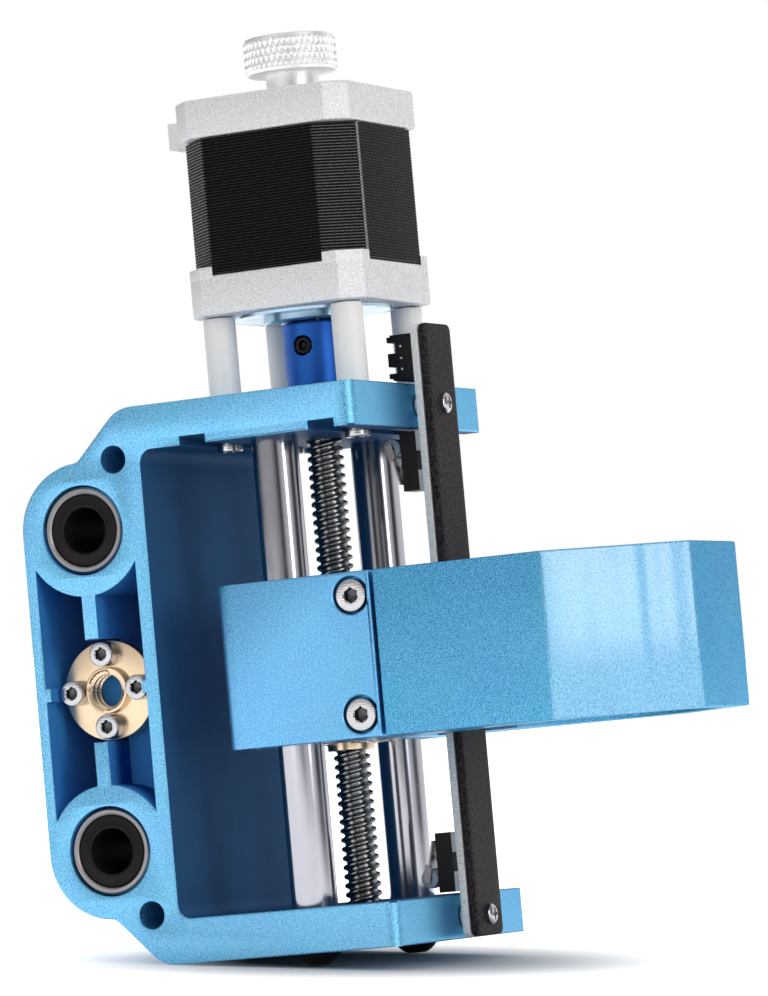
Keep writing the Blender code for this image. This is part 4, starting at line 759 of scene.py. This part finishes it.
def build_motor_front():
    """An octagonal casting with four bolt holes and a low post at each corner, and the turned pilot below it."""
    face, top, bolt_hole, edge = MOTOR_FACE, MOTOR_FACE + 8.9, 1.6, 0.6
    post_low, post_high, post_edge = top - 0.7, top + 1.9, 0.15
    near, far = MOTOR_HALF - 7.8, MOTOR_HALF - MOTOR_CUT
    holes = [round_hole(place, bolt_hole, 24) for place in BOLTS]
    parts = [slab([octagon(MOTOR_HALF, MOTOR_CUT)] + holes, face, top, edge)]
    for sx in (-1, 1):
        for sy in (-1, 1):
            post = np.array([(MOTOR_HALF, near), (MOTOR_HALF, far), (far, MOTOR_HALF), (near, MOTOR_HALF)]) * (sx, sy)
            post = post if sx * sy > 0 else post[::-1]
            parts.append(slab([post], post_low, post_high, post_edge))
    disc, disc_end, collar, collar_end = 17.5, face - 0.6, 11, face - 2
    mouth, bearing_face, shaft_hole, bevel = 7, face + 4, 2.6, 0.3
    pilot = [(disc, face), (disc - 0.1, disc_end), (collar, disc_end), (collar, collar_end + bevel),
             (collar - bevel, collar_end), (mouth + 0.2, collar_end), (mouth, collar_end + bevel),
             (mouth, bearing_face), (shaft_hole, bearing_face)]
    make("motor_pilot", turned(pilot, 96), ZINC, "frame")
    make("motor_front_casting", joined(parts), DIE_CAST, "frame", ["motor_front_bell"],
         sharp=40)


def build_laminations():
    """The stack: a wall whose rows step in at each seam. Sheets of 0.5 mm are drawn 0.66 mm, so that they show."""
    sheets, seam, seam_depth, bevel = 45, 0.2, 0.14, 0.5
    pitch = (STATOR_HIGH - STATOR_LOW) / sheets
    half, cut = MOTOR_HALF - 0.1, 7.5
    rows = [(bevel, STATOR_LOW)]
    for i in range(sheets):
        low = STATOR_LOW + i * pitch
        rows += [(seam_depth, low), (0, low + seam / 2), (0, low + pitch - seam / 2), (seam_depth, low + pitch)]
    rows += [(seam_depth, STATOR_HIGH), (bevel, STATOR_HIGH)]
    stack = octagon(half, cut, 0.8)

    def in_seam(centres):
        """Which faces are the walls of a seam between two sheets."""
        return abs(((centres[:, 2] - STATOR_LOW) / pitch + 0.5) % 1 - 0.5) < 0.12

    def painted_highlight_faces(centres):
        """Which faces get the painted highlight: the corner where a slanting side meets a flat one, or a seam between
        the sheets on a slanting side.
        """
        x, y, z = abs(centres).T
        near = half - cut
        from_seam = abs(((z - STATOR_LOW) / pitch + 0.5) % 1 - 0.5)
        at_corner, slanting = np.hypot(x - near, y - half) < 0.3, x + y > half + near - 0.5
        return at_corner | (slanting & (from_seam < 0.12))

    parts = [wall(stack, rows), cap([inset(stack, bevel)], STATOR_LOW), cap([inset(stack, bevel)], STATOR_HIGH)]
    # The seams' grey rims all round, and the painted highlight on the corner and on the slanting sides' seams
    make("motor_lamination_stack", joined(parts), LAMINATION, "frame", ["motor_stator"],
         sharp=30, areas=[(SEAM_EDGE, in_seam), (LAMINATION_PAINTED_HIGHLIGHT, painted_highlight_faces)])


def build_motor_rear():
    """The rear casting: an octagonal wall, capped, with four screw wells and the shaft's hole in its top."""
    edge, well_radius, well_floor, mouth = 0.6, 3.0, REAR_HIGH - 2.4, 3.5
    plan = octagon(MOTOR_HALF, MOTOR_CUT)
    shrunk = inset(plan, edge)
    holes = [round_hole(place, well_radius, 32) for place in BOLTS] + [round_hole((0, 0), mouth, 48)]
    rows = edge_rows(REAR_LOW, REAR_HIGH, edge)
    parts = [wall(plan, rows), cap([shrunk], REAR_LOW), cap([shrunk] + holes, REAR_HIGH)]
    for x, y in BOLTS:
        well = turned([(well_radius, REAR_HIGH), (well_radius, well_floor), (AXIS, well_floor)], 32)
        parts.append(moved(well, "Z", (x, y, 0)))
    parts.append(turned([(mouth, REAR_HIGH), (mouth, REAR_HIGH - 5), (2.6, REAR_HIGH - 5)], 48))
    make("motor_rear_casting", joined(parts), DIE_CAST, "frame", ["motor_rear_bell"],
         sharp=40)
    screws = [moved(pan_screw(5.4, 1.6), "Z", (x, y, well_floor)) for x, y in BOLTS]
    make("motor_case_screws", joined(screws), STAINLESS, "frame")


def build_standoffs():
    """Tubes between the upper arm and the motor, each with a long cap screw up through it from the groove."""
    low, high, seat = FRAME_HEIGHT + GAP, MOTOR_FACE - GAP, UPPER_ARM + GROOVE_DEPTH - GAP
    tube = turned(soften([(1.8, low), (3.5, low, 0.3), (3.5, high, 0.3), (1.8, high)]), 72)
    for i, (x, y) in enumerate(BOLTS, 1):
        make(f"motor_spacer_tube_{i}", moved(tube, "Z", (x, y, 0)), NYLON, "frame",
             [f"motor_standoff_{i}"])
        set_cap_screw(f"motor_cap_screw_{i}", M3_CAP, 30.0, "-Z", (x, y, seat), "frame", [f"motor_mount_screw_{i}"])


# Carriage and spindle clamp

def screw_side(side, edge):
    """One cheek's flat side with its two counterbores."""
    low, high = CARRIAGE_LOW + edge, CARRIAGE_HIGH - edge
    y_low, y_high = SEAM_Y + SEAM_CORNER, CARRIAGE_BACK - BACK_CORNER
    sheet = np.array([(y_low, low), (y_high, low), (y_high, high), (y_low, high)])
    holes = [(CLAMP_SCREW_Y, CARRIAGE_MID + s * CLAMP_SCREW_OFFSET) for s in (-1, 1)]
    radius, depth, through, bevel = 4.15, 4.4, 2.3, 0.25
    x = side * CARRIAGE_HALF
    parts = [moved(cap([sheet] + [round_hole(h, radius + bevel, 48) for h in holes], x), "X")]
    for y, z in holes:
        well = turned([(radius + bevel, 0), (radius, -bevel), (radius, -depth), (through, -depth),
                       (through, -CHEEK)], 48)
        parts.append(moved(well, "X" if side > 0 else "-X", (x, y, z)))
    return joined(parts)


def build_carriage():
    """The block: walls round its outline and bores. The two flat sides' faces make room for the drilled sheets."""
    half, cheek, edge = CARRIAGE_HALF, CARRIAGE_HALF - CHEEK, 0.4
    window = [(-cheek, SEAM_Y, SEAM_CORNER), (-cheek, WINDOW_BACK, 0.5), (cheek, WINDOW_BACK, 0.5),
              (cheek, SEAM_Y, SEAM_CORNER)]
    outline = soften([(-half, SEAM_Y, SEAM_CORNER)] + window + [(half, SEAM_Y, SEAM_CORNER),
                     (half, CARRIAGE_BACK, BACK_CORNER), (-half, CARRIAGE_BACK, BACK_CORNER)], 8, closed=True)
    bores = [round_hole((x, 0), BEARING + GAP, 96) for x in (-ROD_X, ROD_X)]
    nut_hole = round_hole((0, 0), NUT_BORE, 64)
    pocket = round_hole((0, 0), POCKET, 96)
    pocket_roof = CARRIAGE_LOW + 3.8
    rows = edge_rows(CARRIAGE_LOW, CARRIAGE_HIGH, edge)
    middle = len(rows) // 2 - 1
    points, faces = wall(outline, rows)
    after = np.roll(outline, -1, axis=0)
    on_side, long = abs(abs(outline[:, 0]) - half) < 0.001, abs(after[:, 1] - outline[:, 1]) > 10
    open_faces = {middle * len(outline) + int(c) for c in np.flatnonzero(on_side & long)}
    kept = [f for i, f in enumerate(faces) if i not in open_faces]
    parts = [(points, kept), screw_side(-1, edge), screw_side(1, edge)]
    parts += [wall(loop, rows) for loop in bores]
    parts.append(wall(nut_hole, [(0, pocket_roof)] + rows[middle + 1:]))
    parts.append(wall(pocket, rows[:middle + 1] + [(0, pocket_roof)]))
    parts.append(cap([pocket[::-1], nut_hole], pocket_roof))
    lower = [inset(loop, edge) for loop in [outline] + bores + [pocket]]
    upper = [inset(loop, edge) for loop in [outline] + bores + [nut_hole]]
    parts += [cap(lower, CARRIAGE_LOW), cap(upper, CARRIAGE_HIGH)]
    make("carriage_body", joined(parts), CARRIAGE_BLUE, "slider", ["carriage_block"],
         sharp=40)


def build_clamp():
    """The ring that holds the spindle, from its bore round the two tongues and the slanting front corners."""
    half, back = CARRIAGE_HALF, SEAM_Y - SEAM
    tongue, tongue_back = CARRIAGE_HALF - CHEEK - GAP, WINDOW_BACK - GAP
    opening = math.degrees(math.asin(WINDOW_HALF / BORE))
    bore = [(x, y, 0) for x, y in arc((0, BORE_Y), BORE, 90 - opening, -270 + opening, 140)]
    bore[0], bore[-1] = (*bore[0][:2], 0.5), (*bore[-1][:2], 0.5)
    side_end, front = CLAMP_FRONT + CLAMP_CUT, half - CLAMP_CUT
    left = [(-WINDOW_HALF, tongue_back, 0.5), (-tongue, tongue_back, 0.5), (-tongue, back, 0.4),
            (-half, back, SEAM_CORNER), (-half, side_end, 0.8), (-front, CLAMP_FRONT, 0.8)]
    right = [(-x, y, r) for x, y, r in reversed(left)]
    outline = soften(bore + left + right, 4, closed=True)

    def slanting(centres):
        """Which faces lie on the two slanting sides, where width less place along Y is constant."""
        return abs(abs(centres[:, 0]) - centres[:, 1] - front + CLAMP_FRONT) < 0.3

    # The slanting sides get the paler blue, a painted highlight
    make("clamp_ring", slab([outline], CARRIAGE_LOW, CARRIAGE_HIGH, 0.45), CLAMP_BLUE, "slider",
         ["spindle_clamp"], sharp=40, areas=[(CLAMP_SLANT_PAINTED_HIGHLIGHT, slanting)])
    screws = [(turn, side, offset) for turn, side in (("-X", -1), ("X", 1))
              for offset in (-CLAMP_SCREW_OFFSET, CLAMP_SCREW_OFFSET)]
    for i, (turn, side, offset) in enumerate(screws, 1):
        at = (side * (CARRIAGE_HALF - 4.1), CLAMP_SCREW_Y, CARRIAGE_MID + offset)
        set_cap_screw(f"clamp_cap_screw_{i}", M4_CAP, 16.0, turn, at, "slider", [f"clamp_screw_{i}"])


# Limit-switch board

def build_board():
    """The narrow board and its cover, both one rounded outline, held off the arms by a tube and screw at each end."""
    half, low, high, corner = BOARD_HALF, BOARD_LOW, BOARD_HIGH, 1.6
    sheet_front, sheet_back, cover_front, cover_back = -27.7, -26.1, -29.7, -27.95
    plan = soften([(low, -half, corner), (high, -half, corner), (high, half, corner), (low, half, corner)], 8,
                  closed=True)
    make("limit_board_sheet", moved(slab([plan], sheet_front, sheet_back, 0.1), "Y"), ROUTED_EDGE, "frame",
         ["limit_board"])
    make("board_front_cover", moved(slab([plan], cover_front, cover_back, 0.45), "Y"), COVER_PLASTIC, "frame",
         ["board_cover"])
    inner, outer, arm_side = 1.8, 2.5, -23.7
    profile = [(inner, BOARD_BACK), (outer, BOARD_BACK, 0.2), (outer, arm_side, 0.2), (inner, arm_side)]
    tube = turned(soften(profile), 48)
    for i, z in enumerate((ARM / 2, FRAME_HEIGHT - ARM / 2), 1):
        make(f"board_distance_tube_{i}", moved(tube, "Y", (0, 0, z)), NYLON, "frame",
             [f"board_spacer_{i}"])
        make(f"board_pan_screw_{i}", moved(pan_screw(4.4, 1.3), "-Y", (0, cover_front - 0.05, z)), STAINLESS, "frame",
             [f"board_screw_{i}"])


def build_header():
    """The board's small header: hooked teeth open across X, and the ends of its three contacts in each side."""
    half_x, low, high = 5.5, FRAME_HEIGHT + 0.8, FRAME_HEIGHT + 10.8
    back, front, floor_y, hook = -19.7, BOARD_BACK, -21.6, 0.4
    teeth = [(front, low), (back - 0.9, low), (back - 0.9, low + 0.5), (back, low + 0.5)]
    for begin, end in ((1.6, 3.1), (6.0, 8.4)):
        teeth += [(back, low + begin), (floor_y, low + begin), (floor_y, low + end), (back, low + end)]
    teeth += [(back, high - hook), (back - 2 * hook, high - hook), (back - 2 * hook, high), (front, high)]
    comb = slab([np.array(teeth)], -half_x, half_x, 0.08)
    make("header_comb", moved(comb, "X"), SWITCH_PLASTIC, "frame", ["board_connector"],
         sharp=20)
    contact = np.array([(-0.25, -0.25), (0.25, -0.25), (0.25, 0.25), (-0.25, 0.25)])
    places = [(x, -22.9, low + z) for x in (-half_x - 0.1, half_x - 0.2) for z in (2.4, 4.8, 7.4)]
    ends = [moved(slab([contact], 0, 0.3, 0.05), "X", place) for place in places]
    make("header_contacts", joined(ends), STAINLESS, "frame")


def build_switch_details():
    """Light feet over each switch's moulded ones, so that only the case stays black, and the lever's roller."""
    half_width, length, face, rim = 3.0, 4.4, -23.42, 0.3
    for prefix, inner, up in (("upper", 98.15, 1), ("lower", 23.35, -1)):
        for i, first in enumerate((0.0, 8.6), 1):
            low, high = sorted((inner + up * first, inner + up * (first + length)))
            plan = np.array([(low, -half_width), (high, -half_width), (high, half_width), (low, half_width)])
            foot = moved(slab([plan], BOARD_BACK, face, 0.1), "Y")
            make(f"{prefix}_switch_foot_{i}", foot, FOOT_PLASTIC, "frame")
        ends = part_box(f"{prefix}_switch_roller")
        centre = [(a + b) / 2 / MM - c for a, b, c in zip(*ends, DRAWN_AT)]
        hole, radius, half = 0.6, 2.1, 1.5
        wheel = soften([(hole, -half), (radius, -half, rim), (radius, half, rim), (hole, half)])
        part = joined([turned(wheel, 64), turned([(hole, -half), (hole, half)], 64)])
        make(f"{prefix}_roller_wheel", moved(part, "X", centre), ROLLER_PLASTIC, f"{prefix}_roller",
             [f"{prefix}_switch_roller"])


# Nodes that keep their own mesh, and the look that each gets
CARRIED_OVER = {
    "motor_shaft": CHROME, "motor_rotor": THREAD_STEEL, "motor_connector": NYLON,
    "motor_bearing_1": STAINLESS, "motor_bearing_2": STAINLESS,
    "screw_bearing_outer_ring": STAINLESS, "screw_bearing_inner_ring": STAINLESS,
    "upper_switch_body": SWITCH_PLASTIC, "lower_switch_body": SWITCH_PLASTIC,
    "upper_switch_plunger": SWITCH_PLASTIC, "lower_switch_plunger": SWITCH_PLASTIC,
    "upper_switch_lever": BEARING_STEEL, "lower_switch_lever": BEARING_STEEL, "knob_set_screw": BLACK_OXIDE,
}


def dress_carried_nodes():
    """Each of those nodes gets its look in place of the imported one."""
    for name, look in CARRIED_OVER.items():
        node = NODES[name]
        node.data.materials.clear()
        node.data.materials.append(look)


# Studio: camera, floor, lamps and world

def photo_camera():
    """The photograph's own viewpoint, from its fitted azimuth, elevation, roll, distance and focal length."""
    azimuth, elevation, roll = math.radians(-65.124), math.radians(-3.352), math.radians(-5.064)
    distance, across, above, focal_px, long_side = 1316.5, 12.026, 36.845, 5986.7, 996
    level = math.cos(elevation)
    back = Vector((math.sin(azimuth) * level, -math.cos(azimuth) * level, math.sin(elevation)))
    right = (-back).cross(Vector((0, 0, 1))).normalized()
    up = right.cross(-back)
    middle = Vector((0, 0, MID + 0.15)) + Vector(DRAWN_AT)
    place = back * distance + right * across + up * above + middle
    tilted_right = right * math.cos(roll) + up * math.sin(roll)
    tilted_up = up * math.cos(roll) - right * math.sin(roll)
    turn = Matrix((tilted_right, tilted_up, back)).transposed().to_4x4()
    data = bpy.data.cameras.new("camera")
    data.sensor_width = 36.0
    data.lens = focal_px * data.sensor_width / long_side
    data.clip_end = 100.0
    camera = bpy.data.objects.new("camera", data)
    camera.matrix_world = Matrix.Translation(place * MM) @ turn
    bpy.context.scene.collection.objects.link(camera)
    bpy.context.scene.camera = camera


def floor():
    """The module rests on its two screw heads and the edge behind the lower arm, so the floor is tilted to it."""
    heads, edge_behind, clear, reach = GAP + M5_BUTTON["height"], 31.0, 0.03, 6.0
    lean = math.atan2(heads, edge_behind)
    mesh = bpy.data.meshes.new("floor")
    corners = [(-reach, -reach, 0), (reach, -reach, 0), (reach, reach, 0), (-reach, reach, 0)]
    mesh.from_pydata(corners, [], [(0, 1, 2, 3)])
    plane = bpy.data.objects.new("floor", mesh)
    touching = (Vector(DRAWN_AT) - Vector((0, 0, heads + clear))) * MM
    plane.matrix_world = Matrix.Translation(touching) @ Matrix.Rotation(lean, 4, "X")
    # Dry and even: near the module its glow fades out, which paints a soft shade round it over its real shadow; away
    # from it the floor glows white, for the eye and for gloss
    look = bpy.data.materials.new("matt white paper")
    look.use_nodes = True
    tree = look.node_tree
    shader = tree.nodes["Principled BSDF"]
    shader.inputs["Base Color"].default_value = (0.6, 0.6, 0.61, 1)
    shader.inputs["Roughness"].default_value = 0.9
    shader.inputs["Emission Color"].default_value = (1, 1, 1, 1)
    place = add(tree, "ShaderNodeTexCoord").outputs["Object"]
    away = add(tree, "ShaderNodeVectorMath", {0: place}, operation="LENGTH")
    # Inside the first distance the glow is gone, which paints the shade; from the second on it is full white
    painted_shade_ends, white_from = 0.025, 0.09
    fade = add(tree, "ShaderNodeMapRange", {"Value": away.outputs["Value"], "From Min": painted_shade_ends,
                                            "From Max": white_from}, interpolation_type="SMOOTHSTEP")
    ray = add(tree, "ShaderNodeLightPath")
    seen = add(tree, "ShaderNodeMath", {0: ray.outputs["Is Camera Ray"], 1: ray.outputs["Is Glossy Ray"]},
               operation="MAXIMUM")
    glow = add(tree, "ShaderNodeMath", {0: seen.outputs[0], 1: fade.outputs["Result"]}, operation="MULTIPLY")
    tree.links.new(glow.outputs[0], shader.inputs["Emission Strength"])
    mesh.materials.append(look)
    bpy.context.scene.collection.objects.link(plane)


def lamp(name, place, target, width, height, power):
    """A rectangular lamp in metres and watts, turned to face its target."""
    data = bpy.data.lights.new(name, "AREA")
    data.shape = "RECTANGLE"
    data.size = width
    data.size_y = height
    data.energy = power
    light = bpy.data.objects.new(name, data)
    aim = Vector(target) - Vector(place)
    light.location = place
    light.rotation_euler = aim.to_track_quat("-Z", "Y").to_euler()
    bpy.context.scene.collection.objects.link(light)


def panel(tree, ray, toward, begin, full, level):
    """A soft panel in the world, about one direction: none beyond the cosine begin, its level inside full."""
    facing = add(tree, "ShaderNodeVectorMath", {0: ray, 1: Vector(toward).normalized()},
                 operation="DOT_PRODUCT")
    edge = add(tree, "ShaderNodeMapRange", {"Value": facing.outputs["Value"], "From Min": begin, "From Max": full,
                                            "To Max": level}, interpolation_type="SMOOTHSTEP")
    return edge.outputs["Result"]


# Soft panels that metal reflects: direction, cosine where each begins, cosine where it is full, and its level
PANELS = [
    ((-0.9, 0.42, 0.0), 0.55, 0.95, 0.45),
    ((-0.42, -0.9, 0.1), 0.8, 0.97, 0.7),
    ((0.9, -0.42, 0.06), 0.7, 0.96, 0.9),
    ((0.0, 0.0, 1.0), 0.3, 0.9, 0.9),
    ((0.5, 0.85, 0.1), 0.7, 0.95, 0.3),
]
# What metal reflects between the panels, and what lights a dull surface from all round
DIM, AMBIENT = 0.05, 0.8


def studio():
    """Two lamps, and a world that shows white to the camera, the panels to metal and an even level to the rest."""
    lamp("key", (-1.15, 0.45, 0.1), (0, 0, 0.08), width=0.7, height=0.13, power=0.35)
    lamp("strip", (-0.57, -1.3, 0.4), (0, -0.06, 0.08), width=0.3, height=0.8, power=3.4)
    world = bpy.data.worlds.new("studio")
    bpy.context.scene.world = world
    world.use_nodes = True
    tree = world.node_tree
    background = tree.nodes["Background"]
    ray = add(tree, "ShaderNodeLightPath")
    direction = add(tree, "ShaderNodeTexCoord").outputs["Generated"]
    level = DIM
    for toward, begin, full, strength in PANELS:
        one = panel(tree, direction, toward, begin, full, strength)
        level = add(tree, "ShaderNodeMath", {0: level, 1: one}, operation="ADD").outputs[0]
    ambient = add(tree, "ShaderNodeMix", {"Factor": ray.outputs["Is Glossy Ray"], "A": AMBIENT, "B": level},
                  data_type="FLOAT")
    seen = add(tree, "ShaderNodeMix", {"Factor": ray.outputs["Is Camera Ray"], "A": ambient.outputs[0],
                                       "B": 1.0}, data_type="FLOAT")
    background.inputs["Color"].default_value = (1, 1, 1, 1)
    tree.links.new(seen.outputs[0], background.inputs["Strength"])
    bpy.context.scene.view_settings.view_transform = "Standard"


photo_camera()
floor()
studio()
build_frame()
build_bearings()
build_rods()
build_leadscrew()
build_nuts()
build_coupling()
build_knob()
build_motor_front()
build_laminations()
build_motor_rear()
build_standoffs()
build_carriage()
build_clamp()
build_board()
build_header()
build_switch_details()
dress_carried_nodes()
